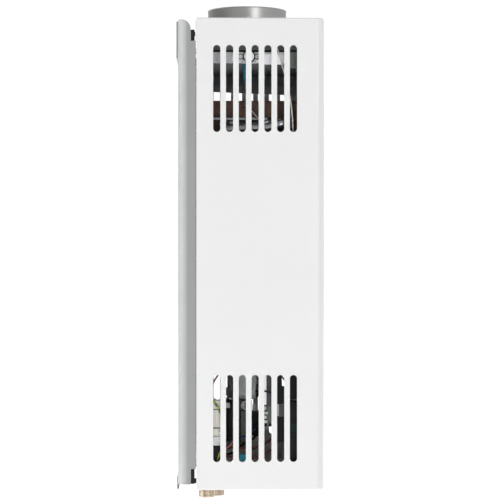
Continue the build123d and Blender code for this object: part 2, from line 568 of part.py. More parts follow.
for d, z in VS:
    head = cx(93.0, 95.98, d, z, 3.4) - Pos(93.2, -d, z) * Rot(0, 90, 0) * extrude(RegularPolygon(1.6, 6), amount=2.0, both=True)
    vsc.append(head + cx(95.9, 116, d, z, 1.9))
add("valve_screws", vsc)
rod = cx(52.0, 101.0, WV_D, WV_Z, ROD_R) + cx(99.5, 101.5, WV_D, WV_Z, 19.0)
rod = fil(rod, [e for e in rod.edges() if abs(e.center().X - 52.0) < 0.01], 1.2)
add("push_rod", rod)

# micro switch and its lever
PIV_X, PIV_Z = 51.0, WV_Z - 20.0
MS_D0, MS_D1 = 62.0, 80.0
ms = rbox(26, 43, MS_D0, MS_D1, 34, 66, r=1.2, axis="y") + cx(42.5, 46.2, WV_D, 53, 1.6)
for d0, d1 in ((MS_D0, MS_D0 + 3.4), (MS_D1 - 3.4, MS_D1)):
    ear = bx(42.5, 54.0, d0, d1, PIV_Z - 4, PIV_Z + 4)
    ms = ms + ear
ms = ms - cy(PIV_X, 50, 90, PIV_Z, 1.0)
for k in range(3):
    ms = ms + bx(30 + 4.5 * k, 30.8 + 4.5 * k, 68, 74, 27, 34.2)
add("micro_switch", ms)
lever_pin = cy(PIV_X, MS_D0 - 1.0, MS_D1 + 1.0, PIV_Z, 1.0)
lev = cy(PIV_X, MS_D0 + 3.8, MS_D1 - 3.8, PIV_Z, 2.3) + bx(PIV_X - 0.4, PIV_X + 0.4, 67.0, 75.0, PIV_Z, WV_Z + 6)
lev = lev - cy(PIV_X, 50, 90, PIV_Z, 1.05)
add("switch_lever", lev)
sb = bx(27, 42, 3.75, 4.95, 22, 40) + bx(27, 42, 3.75, MS_D1, 22, 23.2) + bx(24.75, 25.95, MS_D0, MS_D1, 22, 60)
sb = sb - bx(28, 41.5, 66, 76, 20, 30) + bx(24.75, 27.5, MS_D0, MS_D1, 22, 23.2)

# drain plug
plug = cz(PLUG_X, PLUG_D, -6.0, 3.4, 6.5)
for k in range(14):
    a = math.radians(k * 360 / 14)
    plug = plug - cz(PLUG_X + 7.0 * math.cos(a), PLUG_D + 7.0 * math.sin(a), -7, 3.0, 1.0)
plug = plug + bx(PLUG_X - 6.0, PLUG_X + 6.0, PLUG_D - 1.4, PLUG_D + 1.4, -9.5, -5.9) + cz(PLUG_X, PLUG_D, 3.3, 27.5, 5.0)
add("drain_plug", plug)

# === gas valve ===============================================================
gv = rbox(-84, 16, 62, 96, 47, 96, r=3, all_edges=True)
gv = gv + cz(GAS_X, GAS_D, 40.05, 72, 14.5) + rbox(-30, -8, 90, 118, 60, 84, r=2.5, axis="y")
gv = gv + rbox(-84, -44, 80, 100, 92, 108.5, r=2, axis="x")
gv = gv + cx(16, 22, 79, 71, 12)
for z in (58, 71, 84):
    gv = gv + rbox(-87, -83, 66, 92, z - 1.5, z + 1.5, r=1.0, axis="y")
gv = gv - cz(GAS_X, GAS_D, 30, 66, 9.0)
add("gas_valve_body", gv)
adj = cx(-90.0, -84.05, 91, 101.5, 6.0)
adj = adj - Pos(-90, -91, 101.5) * Box(2.4, 1.4, 9.0)
adj = fil(adj, [e for e in adj.edges() if abs(e.center().X + 90.0) < 0.01 and e.length > 10], 0.5)
add("pressure_screw", adj)
sol = cz(-112, 70, 61, 101.5, 11.0) + Pos(-112, -70, 101.5) * Sphere(11.0, arc_size1=0, arc_size2=90, align=(Align.CENTER, Align.CENTER, Align.MIN))
sol = sol + cz(-112, 70, 57.0, 62, 12.5) + cx(-103, -87.05, 70, 66, 5.5)
add("main_solenoid", sol)
coil2 = rbox(-84, -50, 100.05, 112, 60, 91.9, r=1.5, axis="x") + bx(-80, -54, 112, 114.5, 66, 86)
coil2 = fil(coil2, [e for e in coil2.edges().filter_by(Axis.X) if e.center().Y < -111], 1.0)
coil2 = coil2 + bx(-80, -54, 96.05, 100.2, 64, 88)
add("modulating_coil", coil2)
gp_pts = [(-20, 118.05, 72), (-20, 131, 72), (-20, 131, 210), (-20, 174, 222), (-20, 174, 239.9)]
add("gas_pipe", tube(gp_pts, [6.5, 20, 7.5], 6.0, "gas_pipe"))

nuts = [hexz(111.6, 75, 99.0, 110.0, 24) - cz(111.6, 75, 95, 115, 7.1),
        hexz(HOT_X, PIPE_D, 31.0, 43.0, 24) - cz(HOT_X, PIPE_D, 20, 50, 7.1),
        hexz(-20, 174, 230.6, 239.6, 19) - cz(-20, 174, 220, 245, 6.1),
        extrude(Plane(origin=(-20, -119.0, 72), x_dir=(1, 0, 0), z_dir=(0, -1, 0)) * RegularPolygon(11, 6), amount=5.0) - cy(-20, 110, 140, 72, 6.1)]
add("union_nuts", nuts)

# === electrics ===============================================================
CB = (-170.0, -130.0, 28.0, 61.0, 68.0, 113.0)
box_c = rbox(*CB, r=2.5, all_edges=True)
box_c = box_c + bx(-170.6, -129.4, 27.4, 61.6, 86.0, 87.2)
box_c = box_c + bx(-160, -156, 36, 52, 112.5, 116) + bx(-146, -142, 34, 50, 112.5, 116)
add("controller_box", box_c)
cb = rbox(-168, -134, 30, 60, 36, 54.95, r=1.5, axis="z")
for k in range(5):
    cb = cb - bx(-166.5 + 6.5 * k, -162.5 + 6.5 * k, 58, 61, 38.5, 43.5) - bx(-166.5 + 6.5 * k, -162.5 + 6.5 * k, 58, 61, 46.5, 51.5)
for k in range(4):
    cb = cb - bx(-169, -167.2, 33 + 6.5 * k, 37 + 6.5 * k, 40, 50)
add("connector_block", cb)
ctrl_br = bx(-163, -134, 3.75, 60, 66.6, 67.95) + bx(-163, -134, 3.75, 4.95, 66.7, 100) + bx(-168, -134, 58.8, 60, 55.0, 67.9) + bx(-168, -162, 12, 60, 66.6, 67.95)
add("mounting_brackets", hangers, brk, sb, ctrl_br)

tr_box = rbox(-166, -120, 146, 182, 74.05, 111, r=2.0, all_edges=True)
for x in (-150.0, -136.0):
    tr_box = tr_box + cz(x, 164, 110, 116, 3.2)
for k in range(3):
    tr_box = tr_box + bx(-166.6, -165.5, 150 + 10 * k, 156 + 10 * k, 80, 104)
add("ignition_transformer", tr_box)

# battery box, hatch lid and cells
bb = rbox(-166, -86, 144, 188, 1.05, 74, r=3)
bb = bb - rbox(-162.5, -89.5, 147.5, 184.5, 0, 71.5, r=2)
for x in (-163, -90.5):
    bb = bb - bx(x, x + 1, 160, 172, 30, 60)
LID_D, LID_Z = 151.0, 3.0
for x0, x1 in ((-162.6, -158.2), (-93.8, -89.4)):
    bb = bb + bx(x0, x1, 147.4, 154, 2.0, 6.5)
bb = bb - cx(-162.5, -89.5, LID_D, LID_Z, 1.25)
for k in range(6):
    bb = bb + bx(-165, -87, 187.9, 188.6, 12 + 9 * k, 14 + 9 * k)
add("battery_box", bb)
lid = rbox(-162.0, -90.0, 149.5, 184.0, 0.0, 1.8, r=1.5)
lid = lid - bx(-163, -157.6, 147, 157, -1, 4) - bx(-94.4, -89, 147, 157, -1, 4)
lid = lid + cx(-157.0, -95.0, LID_D, LID_Z, 2.2) + bx(-157, -95, 149.8, 152.2, 1.0, 3.0)
lid = lid - cx(-165, -85, LID_D, LID_Z, 1.3)
lid = lid + bx(-150, -102, 163, 169, 1.7, 2.4)
for x in (-144.5, -107.5):
    lid = lid + cz(x, 166, 2.2, 5.2, 5.0)
for k in range(4):
    lid = lid - bx(-138, -114, 175 + 2.2 * k, 176 + 2.2 * k, -0.5, 0.5)
add("battery_lid", lid)
lid_pin = cx(-162.5, -89.5, LID_D, LID_Z, 1.25)
add("hinge_pins", lever_pin, lid_pin)
cells = []
for x in (-144.5, -107.5):
    c = cz(x, 166, 5.6, 67.1, 17.1)
    c = fil(c, [e for e in c.edges() if e.center().Z > 67], 1.2)
    cells.append(c + cz(x, 166, 67.0, 69.2, 4.7))
add("battery_cells", cells)

# === front =================================================================
BZ_D = 193.0
bez = rbox(PANEL[0] - 6, PANEL[1] + 6, CASE_FRONT, BZ_D, PANEL[2] - 6, PANEL[3] + 6, r=8, axis="y")
bez = fil(bez, [e for e in bez.edges() if e.center().Y < -BZ_D + 0.01], 0.8)
bez = bez + rbox(PANEL[0] + 0.4, PANEL[1] - 0.4, 178.0, CASE_FRONT + 0.2, PANEL[2] + 0.4, PANEL[3] - 0.4, r=5.5, axis="y")
bez = bez - rbox(PANEL[0] + 2.4, PANEL[1] - 2.4, 170.0, 188.2, PANEL[2] + 2.4, PANEL[3] - 2.4, r=3.5, axis="y")
BTN = {"power_button": (-57.0, 121.0), "plus_button": (57.0, 132.0), "minus_button": (57.0, 110.0)}
for x, z in BTN.values():
    bez = bez - cy(x, 180, 200, z, BUTTON_R + 0.3)
bez = bez - rbox(-36, 36, 185, 200, 107, 137, r=2, axis="y")
add("panel_bezel", bez)
lens = rbox(-35.9, 35.9, 189.5, BZ_D + 0.1, 107.1, 136.9, r=1.9, axis="y")
add("display_lens", lens)
brd = bx(-74.5, 74.5, 180.5, 182.1, 99.6, 142.4) + bx(-34, 34, 182.0, 188.6, 109, 135)
for x, z in BTN.values():
    brd = brd + bx(x - 3, x + 3, 182.0, 185.3, z - 3, z + 3) + cy(x, 185.0, 185.9, z, 1.6)
for x in (-40.0, -10.0, 20.0, 42.0):
    brd = brd + bx(x, x + 9, 177.5, 180.6, 104 if x < 0 else 120, 112 if x < 0 else 130)
add("panel_board", brd)
for n, (x, z) in BTN.items():
    cap = cy(x, 187.9, 194.2, z, BUTTON_R)
    cap = fil(cap, [e for e in cap.edges() if e.center().Y < -194.1], 0.9)
    add(n, cap + cy(x, 186.8, 188.0, z, 8.0))


def yslot(x, z, w, h, d0, d1):
    s = Plane(origin=(x, -d0, z), x_dir=(1, 0, 0), z_dir=(0, -1, 0)) * SlotOverall(w, h)
    return extrude(s, amount=d1 - d0)


wf = yslot(0, WIN_Z, WIN_W + 8, WIN_H + 8, CASE_FRONT, 193.2)
wf = fil(wf, [e for e in wf.edges() if e.center().Y < -193.1], 1.0)
wf = wf + yslot(0, WIN_Z, WIN_W - 0.4, WIN_H - 0.4, 186.5, CASE_FRONT + 0.2)
wf = wf - yslot(0, WIN_Z, WIN_W - 8, WIN_H - 8, 180, 200) - yslot(0, WIN_Z, WIN_W - 5.6, WIN_H - 5.6, 180, 189.5)
add("window_frame", wf)
add("window_glass", yslot(0, WIN_Z, WIN_W - 5.8, WIN_H - 5.8, 187.2, 189.45))

# === wires, held at both ends ==============================================
def wire(pts, r, name, cap=14.0):
    rr = auto_radii(pts, cap=cap)
    return tube(pts, rr, r, name)


T1 = [(-167.8, 88.6, 549.3), (-168.6, 88.4, 536), (-168.2, 90.0, 520), (-167, 91.6, 500), (-166.5, 92.0, 478), (-166.2, 90, 456),
      (-165.6, 76, 430), (-164.5, 57, 410), (-160, 36, 392), (-154, 21, 362), (-154, 17, 300),
      (-151, 19, 150), (-150, 31, 130), (-149, 40, 124), (-149, 43, 113.4)]
T2 = [(-167.8, 94.6, 549.2), (-168.6, 95.2, 536), (-168.4, 95.8, 520), (-168.0, 95.5, 500), (-167.6, 95.3, 470), (-167.5, 93, 446),
      (-167.4, 78, 418), (-167, 58, 396), (-164, 38, 376), (-160, 22, 345), (-160, 17.5, 300), (-156.5, 20, 152),
      (-154.5, 33, 134), (-153, 43, 127), (-153, 47, 113.4)]
add("thermostat_lead", wire(T1, 1.15, "teal 1"), wire(T2, 1.15, "teal 2"))
LOOM = {
    "earth": (1.3, [(-158, 5.0, 128), (-166, 26, 127), (-173, 46, 119), (-173.2, 58.5, 100), (-173.4, 61.8, 78), (-172.8, 60.6, 58), (-171.2, 54, 41), (-168, 53, 29), (-150, 60, 25), (-128, 70, 25.5), (-106, 81, 36), (-85.0, 86, 54)]),
    "blue": (1.3, [(-150, 60.3, 46), (-148.5, 64.5, 52), (-146, 69.5, 58.5), (-142, 78, 62), (-132, 90, 64.5), (-108, 104, 71), (-84.6, 106, 75)]),
    "red": (1.3, [(-142, 60.3, 40.5), (-142, 74, 39), (-138, 100, 35), (-132, 124, 44), (-129, 136, 62), (-128, 139.5, 79), (-128, 145.8, 82)]),
    "maroon": (1.3, [(-136, 60.3, 49), (-136, 74, 51), (-131, 98, 48), (-125, 120, 54), (-123, 134, 72), (-124, 139.5, 91), (-124, 145.8, 94)]),
    "salmon": (1.2, [(-160, 60.3, 49), (-160, 68, 53), (-150, 76, 62), (-138, 81, 74), (-121.7, 76.5, 82)]),
    "sensor": (0.9, [(-105.9, 88, 500), (-118, 92, 501), (-131, 100, 492), (-137, 111, 477.6)]),
    "fuse": (0.9, [(-150, 122, 572.4), (-160, 126, 580), (-168.4, 132, 570), (-169, 140, 540), (-167.5, 149, 505), (-168, 152, 463),
                   (-165, 155, 380), (-168, 153, 250), (-165, 156, 160), (-151, 162, 132), (-150.0, 164, 116.3)]),
    "spark": (1.6, [(-136, 164, 116.3), (-136, 167, 142), (-110, 181, 182), (-40, 185.6, 226), (16, 185.2, 272), (40, 184.6, 298), (46, 183, 306), (46, 176.2, 306.4)]),
    "probe": (1.3, [(-142, 182.2, 100), (-142, 186.6, 102), (-141, 186.6, 122), (-136, 184.8, 160), (-100, 184.6, 215), (-30, 184.4, 284), (30, 184.4, 322),
                    (60, 184.4, 320), (64, 183, 306.5), (64, 176.2, 306)]),
}
add("wiring_loom", [wire(p, r, n) for n, (r, p) in LOOM.items()])

# === write the parts ========================================================
for name, solids in NODES.items():
    out = solids[0] if len(solids) == 1 else Compound(label=name, children=list(solids))
    out.label = name
    export_step(out, f"parts/{name}.step")
print(len(NODES), "nodes written")
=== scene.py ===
import math
import random

import bmesh
import bpy
from mathutils import Matrix, Vector


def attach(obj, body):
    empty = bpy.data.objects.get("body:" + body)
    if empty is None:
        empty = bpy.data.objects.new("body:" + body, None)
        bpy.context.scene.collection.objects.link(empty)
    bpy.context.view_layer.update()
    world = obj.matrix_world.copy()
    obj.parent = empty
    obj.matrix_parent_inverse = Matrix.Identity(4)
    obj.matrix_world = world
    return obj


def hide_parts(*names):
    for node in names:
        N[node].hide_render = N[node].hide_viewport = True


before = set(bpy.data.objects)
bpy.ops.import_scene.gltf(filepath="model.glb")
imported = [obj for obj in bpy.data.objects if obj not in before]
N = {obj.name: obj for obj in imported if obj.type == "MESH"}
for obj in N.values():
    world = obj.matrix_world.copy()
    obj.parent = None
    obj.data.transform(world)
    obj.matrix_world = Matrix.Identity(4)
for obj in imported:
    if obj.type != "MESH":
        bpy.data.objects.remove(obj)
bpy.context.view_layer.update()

CASE = "case"
SC = bpy.context.scene
random.seed(7)


def P(x, d, z):
    """Row-frame point in metres from x, distance from the wall and height above the case's underside, in mm."""
    return Vector((x / 1000.0, -d / 1000.0, (z - 584.0) / 1000.0))


# ------------------------------------------------------------------ camera --
cam_d = bpy.data.cameras.new("camera")
cam = bpy.data.objects.new("camera", cam_d)
SC.collection.objects.link(cam)
cam.location = P(-2475.5, 52.6, 309.8)
aim = P(0, 98.9, 309.8)
cam.rotation_euler = (aim - cam.location).to_track_quat("-Z", "Y").to_euler()
cam_d.sensor_width = 36.0
cam_d.lens = 128.2
cam_d.clip_end = 100.0
SC.camera = cam
SC.view_settings.view_transform = "Standard"
SC.view_settings.look = "None"

# ------------------------------------------------------------------- stage --
world = bpy.data.worlds.new("studio")
SC.world = world
world.use_nodes = True
wn = world.node_tree
wn.nodes.clear()
w_out = wn.nodes.new("ShaderNodeOutputWorld")
w_bg = wn.nodes.new("ShaderNodeBackground")
w_tc = wn.nodes.new("ShaderNodeTexCoord")
w_sep = wn.nodes.new("ShaderNodeSeparateXYZ")
w_mr = wn.nodes.new("ShaderNodeMapRange")
wn.links.new(w_tc.outputs["Generated"], w_sep.inputs[0])
wn.links.new(w_sep.outputs["Y"], w_mr.inputs["Value"])
w_mr.inputs["From Min"].default_value = -1.0
w_mr.inputs["From Max"].default_value = 1.0
w_rp = wn.nodes.new("ShaderNodeValToRGB")
for k_, (p_, v_) in enumerate(((0.0, 0.60), (0.10, 0.64), (0.20, 0.56), (0.85, 0.53), (0.985, 0.21))):
    e_ = w_rp.color_ramp.elements[k_] if k_ < 2 else w_rp.color_ramp.elements.new(p_)
    e_.position = p_
    e_.color = (v_, v_, v_, 1)
wn.links.new(w_mr.outputs["Result"], w_rp.inputs["Fac"])
wn.links.new(w_rp.outputs["Color"], w_bg.inputs["Strength"])
w_bg.inputs["Color"].default_value = (1.0, 1.0, 1.0, 1)
w_see = wn.nodes.new("ShaderNodeBackground")
w_see.inputs["Color"].default_value = (1.0, 1.0, 1.0, 1)
w_see.inputs["Strength"].default_value = 1.05
w_lp = wn.nodes.new("ShaderNodeLightPath")
w_mx = wn.nodes.new("ShaderNodeMixShader")
wn.links.new(w_lp.outputs["Is Camera Ray"], w_mx.inputs[0])
wn.links.new(w_bg.outputs[0], w_mx.inputs[1])
wn.links.new(w_see.outputs[0], w_mx.inputs[2])
wn.links.new(w_mx.outputs[0], w_out.inputs["Surface"])

FLOOR_Z = (-7.0 - 584.0) / 1000.0 - 0.33
me = bpy.data.meshes.new("floor")
bm = bmesh.new()
bmesh.ops.create_circle(bm, cap_ends=True, radius=14.0, segments=96)
bm.to_mesh(me)
bm.free()
floor = bpy.data.objects.new("floor", me)
floor.location.z = FLOOR_Z
SC.collection.objects.link(floor)
fm = bpy.data.materials.new("pale_floor")
fm.use_nodes = True
fb = fm.node_tree.nodes["Principled BSDF"]
fb.inputs["Base Color"].default_value = (0.9, 0.9, 0.9, 1)
fb.inputs["Roughness"].default_value = 0.9
fb.inputs["Specular IOR Level"].default_value = 0.1
fb.inputs["Emission Color"].default_value = (1, 1, 1, 1)
fb.inputs["Emission Strength"].default_value = 0.64
me.materials.append(fm)


def area(name, loc, aim_at, size, power, size_y=None, glossy=True):
    l = bpy.data.lights.new(name, "AREA")
    l.shape = "RECTANGLE"
    l.size = size
    l.size_y = size_y or size
    l.energy = power
    o = bpy.data.objects.new(name, l)
    o.visible_camera = False
    o.visible_glossy = glossy
    o.location = loc
    o.rotation_euler = (Vector(aim_at) - Vector(loc)).to_track_quat("-Z", "Y").to_euler()
    SC.collection.objects.link(o)
    return o


mid = (0.0, -0.1, -0.28)
area("key_left", (-2.72, -1.27, 0.2), mid, 0.8, 15.0, 2.0)
area("top_soft", (-0.3, -0.6, 2.0), mid, 1.8, 7.0)
area("front_right", (2.3, -2.0, 0.2), mid, 1.6, 8.0, 2.0, glossy=False)
area("front_soft", (0.4, -3.0, 0.5), mid, 1.4, 3.0, 1.8, glossy=False)
area("rear_fill", (0.8, 2.8, 0.4), mid, 1.8, 4.0, glossy=False)
area("rear_left_fill", (-0.62, 2.9, 0.1), mid, 1.0, 92.0, 1.8, glossy=False)

# --------------------------------------------------------------- materials --


def new_mat(name):
    m = bpy.data.materials.new(name)
    m.use_nodes = True
    nt = m.node_tree
    return m, nt, nt.nodes["Principled BSDF"]


def obj_coords(nt, scale=(1, 1, 1), rot=(0, 0, 0)):
    tc = nt.nodes.new("ShaderNodeTexCoord")
    mp = nt.nodes.new("ShaderNodeMapping")
    mp.inputs["Scale"].default_value = scale
    mp.inputs["Rotation"].default_value = rot
    nt.links.new(tc.outputs["Object"], mp.inputs["Vector"])
    return mp.outputs["Vector"]


def noise(nt, vec, scale, detail=3.0, rough=0.55):
    n = nt.nodes.new("ShaderNodeTexNoise")
    n.inputs["Scale"].default_value = scale
    n.inputs["Detail"].default_value = detail
    n.inputs["Roughness"].default_value = rough
    nt.links.new(vec, n.inputs["Vector"])
    return n.outputs["Fac"]


def ramp(nt, fac, stops):
    r = nt.nodes.new("ShaderNodeValToRGB")
    els = r.color_ramp.elements
    while len(els) > 1:
        els.remove(els[-1])
    els[0].position = stops[0][0]
    els[0].color = (*stops[0][1], 1)
    for pos, col in stops[1:]:
        e = els.new(pos)
        e.color = (*col, 1)
    nt.links.new(fac, r.inputs["Fac"])
    return r.outputs["Color"]


def remap(nt, fac, a, b, lo=0.3, hi=0.7):
    r = nt.nodes.new("ShaderNodeMapRange")
    r.inputs["From Min"].default_value = lo
    r.inputs["From Max"].default_value = hi
    r.inputs["To Min"].default_value = a
    r.inputs["To Max"].default_value = b
    nt.links.new(fac, r.inputs["Value"])
    return r.outputs["Result"]


def mixc(nt, fac, a, b):
    m = nt.nodes.new("ShaderNodeMix")
    m.data_type = "RGBA"
    if isinstance(fac, (int, float)):
        m.inputs[0].default_value = fac
    else:
        nt.links.new(fac, m.inputs[0])
    for sock, v in ((m.inputs[6], a), (m.inputs[7], b)):
        if isinstance(v, tuple):
            sock.default_value = (*v, 1)
        else:
            nt.links.new(v, sock)
    return m.outputs[2]


def bump(nt, bsdf, height, strength, dist):
    b = nt.nodes.new("ShaderNodeBump")
    b.inputs["Strength"].default_value = strength
    b.inputs["Distance"].default_value = dist
    nt.links.new(height, b.inputs["Height"])
    nt.links.new(b.outputs["Normal"], bsdf.inputs["Normal"])
    return b


def scale_c(c, k):
    return tuple(min(1.0, v * k) for v in c)


def surface(name, col, rough, metal=0.0, var=0.05, vscale=40.0, rvar=0.05, rscale=120.0, bstr=0.12, bscale=900.0, bdist=0.0002,
            coat=0.0, coat_rough=0.08, stretch=(1, 1, 1), spec=0.5, dirt=None, dirt_scale=25.0, dirt_amt=0.3):
    """General finish: colour drift, uneven gloss and fine relief, all from the object's own coordinates."""
    m, nt, b = new_mat(name)
    v = obj_coords(nt, stretch)
    n1 = noise(nt, v, vscale, 4.0)
    c = mixc(nt, remap(nt, n1, 0.0, 1.0), scale_c(col, 1 - var), scale_c(col, 1 + var))
    if dirt:
        n3 = noise(nt, obj_coords(nt), dirt_scale, 5.0, 0.65)
        c = mixc(nt, remap(nt, n3, 0.0, dirt_amt, 0.45, 0.75), c, dirt)
    nt.links.new(c, b.inputs["Base Color"])
    n2 = noise(nt, v, rscale, 3.0)
    nt.links.new(remap(nt, n2, max(0.02, rough - rvar), min(1, rough + rvar)), b.inputs["Roughness"])
    b.inputs["Metallic"].default_value = metal
    b.inputs["Specular IOR Level"].default_value = spec
    if coat:
        b.inputs["Coat Weight"].default_value = coat
        b.inputs["Coat Roughness"].default_value = coat_rough
    bump(nt, b, noise(nt, v, bscale, 3.0), bstr, bdist)
    return m


# white powder coat: fine orange peel, very slight tone drift
M = {}
M["white"] = surface("white_powder_coat", (0.664, 0.667, 0.664), 0.30, var=0.008, vscale=6.0, rvar=0.02, rscale=400, bstr=0.10, bscale=1100.0, bdist=0.00008, coat=0.35, coat_rough=0.10)
M["grey"] = surface("grey_powder_coat_bend_highlight", (0.345, 0.351, 0.350), 0.36, var=0.03, vscale=18.0, rvar=0.06, rscale=80, bstr=0.12, bscale=1000.0, bdist=0.00012, coat=0.2, coat_rough=0.2)


def galvanised(name, col=(0.62, 0.63, 0.64), rough=0.34, spangle=260.0, dirt=None):
    """Zinc-coated sheet: flat crystals of slightly different tone and gloss."""
    m, nt, b = new_mat(name)
    v = obj_coords(nt)
    vo = nt.nodes.new("ShaderNodeTexVoronoi")
    vo.inputs["Scale"].default_value = spangle
    nt.links.new(v, vo.inputs["Vector"])
    sep = nt.nodes.new("ShaderNodeSeparateColor")
    nt.links.new(vo.outputs["Color"], sep.inputs[0])
    c = mixc(nt, sep.outputs[0], scale_c(col, 0.93), scale_c(col, 1.05))
    c = mixc(nt, remap(nt, noise(nt, v, 22.0, 4.0), 0.0, 0.25), c, scale_c(col, 0.82))
    if dirt:
        c = mixc(nt, remap(nt, noise(nt, v, 35.0, 5.0, 0.7), 0.0, 0.6, 0.5, 0.72), c, dirt)
    nt.links.new(c, b.inputs["Base Color"])
    nt.links.new(remap(nt, sep.outputs[1], rough - 0.08, rough + 0.12, 0.0, 1.0), b.inputs["Roughness"])
    b.inputs["Metallic"].default_value = 0.85
    bump(nt, b, noise(nt, v, 420.0, 3.0), 0.10, 0.0002)
    return m


M["galv"] = galvanised("galvanised_sheet")
M["galv_dark"] = galvanised("galvanised_heat_toned", (0.44, 0.44, 0.44), 0.4, 200.0, dirt=(0.20, 0.16, 0.13))


def brushed(name, col, rough, lines=(30, 30, 2600), metal=1.0, bstr=0.18, var=0.10):
    """Lathe-turned or brushed metal with fine lines across one axis."""
    m, nt, b = new_mat(name)
    v = obj_coords(nt, lines)
    n1 = noise(nt, v, 1.0, 5.0, 0.6)
    c = mixc(nt, remap(nt, n1, 0.0, 1.0), scale_c(col, 1 - var), scale_c(col, 1 + var))
    c = mixc(nt, remap(nt, noise(nt, obj_coords(nt), 28.0, 3.0), 0.0, 0.30), c, scale_c(col, 0.8))
    nt.links.new(c, b.inputs["Base Color"])
    nt.links.new(remap(nt, n1, rough - 0.06, rough + 0.08), b.inputs["Roughness"])
    b.inputs["Metallic"].default_value = metal
    bump(nt, b, n1, bstr, 0.00012)
    return m


M["flue"] = brushed("flue_steel_spun", (0.46, 0.46, 0.455), 0.33, (12, 12, 2600), bstr=0.08, var=0.06)
M["zinc"] = brushed("zinc_plated", (0.66, 0.67, 0.68), 0.28, (400, 400, 400))
M["stainless"] = brushed("stainless_pressed", (0.50, 0.49, 0.48), 0.32, (900, 30, 900))
M["brass"] = brushed("machined_brass", (0.47, 0.39, 0.30), 0.15, (430, 430, 16), bstr=0.0, var=0.34)
M["brass_cast"] = surface("cast_brass", (0.66, 0.48, 0.28), 0.42, 1.0, 0.10, 60, 0.08, 200, 0.30, 700, 0.0004)
M["copper"] = surface("drawn_copper", (0.66, 0.40, 0.28), 0.30, 1.0, 0.12, 30, 0.08, 90, 0.10, 500, 0.0002, dirt=(0.30, 0.16, 0.10), dirt_amt=0.55)
M["tinned"] = surface("tinned_copper", (0.52, 0.535, 0.56), 0.30, 1.0, 0.10, 40, 0.07, 100, 0.12, 500, 0.0002, dirt=(0.30, 0.26, 0.24), dirt_amt=0.4)
M["hot_copper"] = surface("heat_darkened_copper", (0.155, 0.095, 0.07), 0.42, 0.9, 0.25, 45, 0.10, 120, 0.20, 500, 0.0003, dirt=(0.05, 0.045, 0.05), dirt_scale=30, dirt_amt=0.8)
M["casting"] = surface("die_cast_grey_green", (0.16, 0.18, 0.165), 0.46, 0.55, 0.12, 70, 0.08, 260, 0.45, 850, 0.0004)
M["casting_light"] = surface("die_cast_alloy", (0.42, 0.43, 0.42), 0.44, 0.8, 0.10, 60, 0.08, 240, 0.40, 800, 0.0004)
M["black"] = surface("black_moulded", (0.009, 0.009, 0.010), 0.42, 0.0, 0.15, 50, 0.08, 200, 0.30, 1500, 0.0002, spec=0.18)
M["black_gloss"] = surface("piano_black", (0.010, 0.010, 0.011), 0.14, 0.0, 0.10, 20, 0.03, 60, 0.02, 300, 0.0001, coat=0.8, coat_rough=0.04)
M["rubber"] = surface("moulded_rubber", (0.03, 0.03, 0.03), 0.75, 0.0, 0.10, 60, 0.08, 200, 0.25, 1200, 0.0003, spec=0.18)
M["grey_plastic"] = surface("grey_nylon", (0.24, 0.245, 0.25), 0.48, 0.0, 0.06, 60, 0.06, 180, 0.28, 1300, 0.0002)
M["offwhite"] = surface("offwhite_moulded", (0.70, 0.68, 0.62), 0.40, 0.0, 0.04, 40, 0.06, 160, 0.22, 1400, 0.00018)
M["silver_button"] = surface("satin_silver_button", (0.46, 0.47, 0.48), 0.30, 0.6, 0.05, 90, 0.05, 300, 0.10, 1500, 0.0001)
M["ceramic"] = surface("glazed_ceramic", (0.80, 0.78, 0.74), 0.18, 0.0, 0.05, 80, 0.05, 200, 0.05, 700, 0.0001, coat=0.5)
M["heatwire"] = surface("heatproof_wire", (0.32, 0.30, 0.29), 0.36, 1.0, 0.20, 120, 0.08, 300, 0.10, 900, 0.0001)
M["dark_board"] = surface("dark_green_board", (0.006, 0.02, 0.012), 0.40, 0.0, 0.20, 500, 0.08, 400, 0.20, 900, 0.0003, spec=0.2)
M["hood"] = surface("hood_sheet", (0.34, 0.36, 0.385), 0.46, 0.6, 0.05, 30, 0.05, 120, 0.12, 500, 0.0002, dirt=(0.10, 0.10, 0.11), dirt_amt=0.25)
M["lip"] = galvanised("hood_lip_sheet_painted_light", (0.95, 0.95, 0.96), 0.42, 300.0)
M["trough"] = galvanised("trough_sheet", (0.72, 0.735, 0.75), 0.40, 500.0)
M["board"] = surface("green_laminate", (0.02, 0.13, 0.055), 0.35, 0.0, 0.30, 700, 0.10, 500, 0.30, 900, 0.0003, coat=0.3)
M["cells"] = surface("plain_cell_wrap", (0.16, 0.17, 0.19), 0.25, 0.3, 0.06, 25, 0.05, 60, 0.03, 400, 0.0001, coat=0.4)
M["phenolic"] = surface("black_phenolic", (0.03, 0.03, 0.032), 0.38, 0.0, 0.10, 80, 0.05, 200, 0.10, 900, 0.0002, spec=0.18)
M["alu"] = brushed("turned_aluminium", (0.80, 0.80, 0.82), 0.30, (500, 500, 500), metal=0.75, var=0.05)
M["galv_strip"] = galvanised("galvanised_bright_strip", (0.74, 0.75, 0.76), 0.38, 320.0)
M["steel_pipe"] = surface("dark_steel_pipe", (0.085, 0.085, 0.09), 0.36, 0.85, 0.12, 40, 0.08, 120, 0.20, 700, 0.0002, dirt=(0.09, 0.08, 0.07), dirt_amt=0.4)
M["teal_block"] = surface("teal_nylon", (0.03, 0.46, 0.58), 0.42, 0.0, 0.10, 120, 0.06, 300, 0.20, 1300, 0.0002)
for k_ in ("lip", "galv_strip", "alu"):
    M[k_].node_tree.nodes["Principled BSDF"].inputs["Metallic"].default_value = 0.25
M["trough"].node_tree.nodes["Principled BSDF"].inputs["Metallic"].default_value = 0.3
M["cap_bright"] = surface("bright_cap", (0.90, 0.90, 0.93), 0.30, 0.1, 0.03, 400, 0.05, 500, 0.08, 1500, 0.0001)
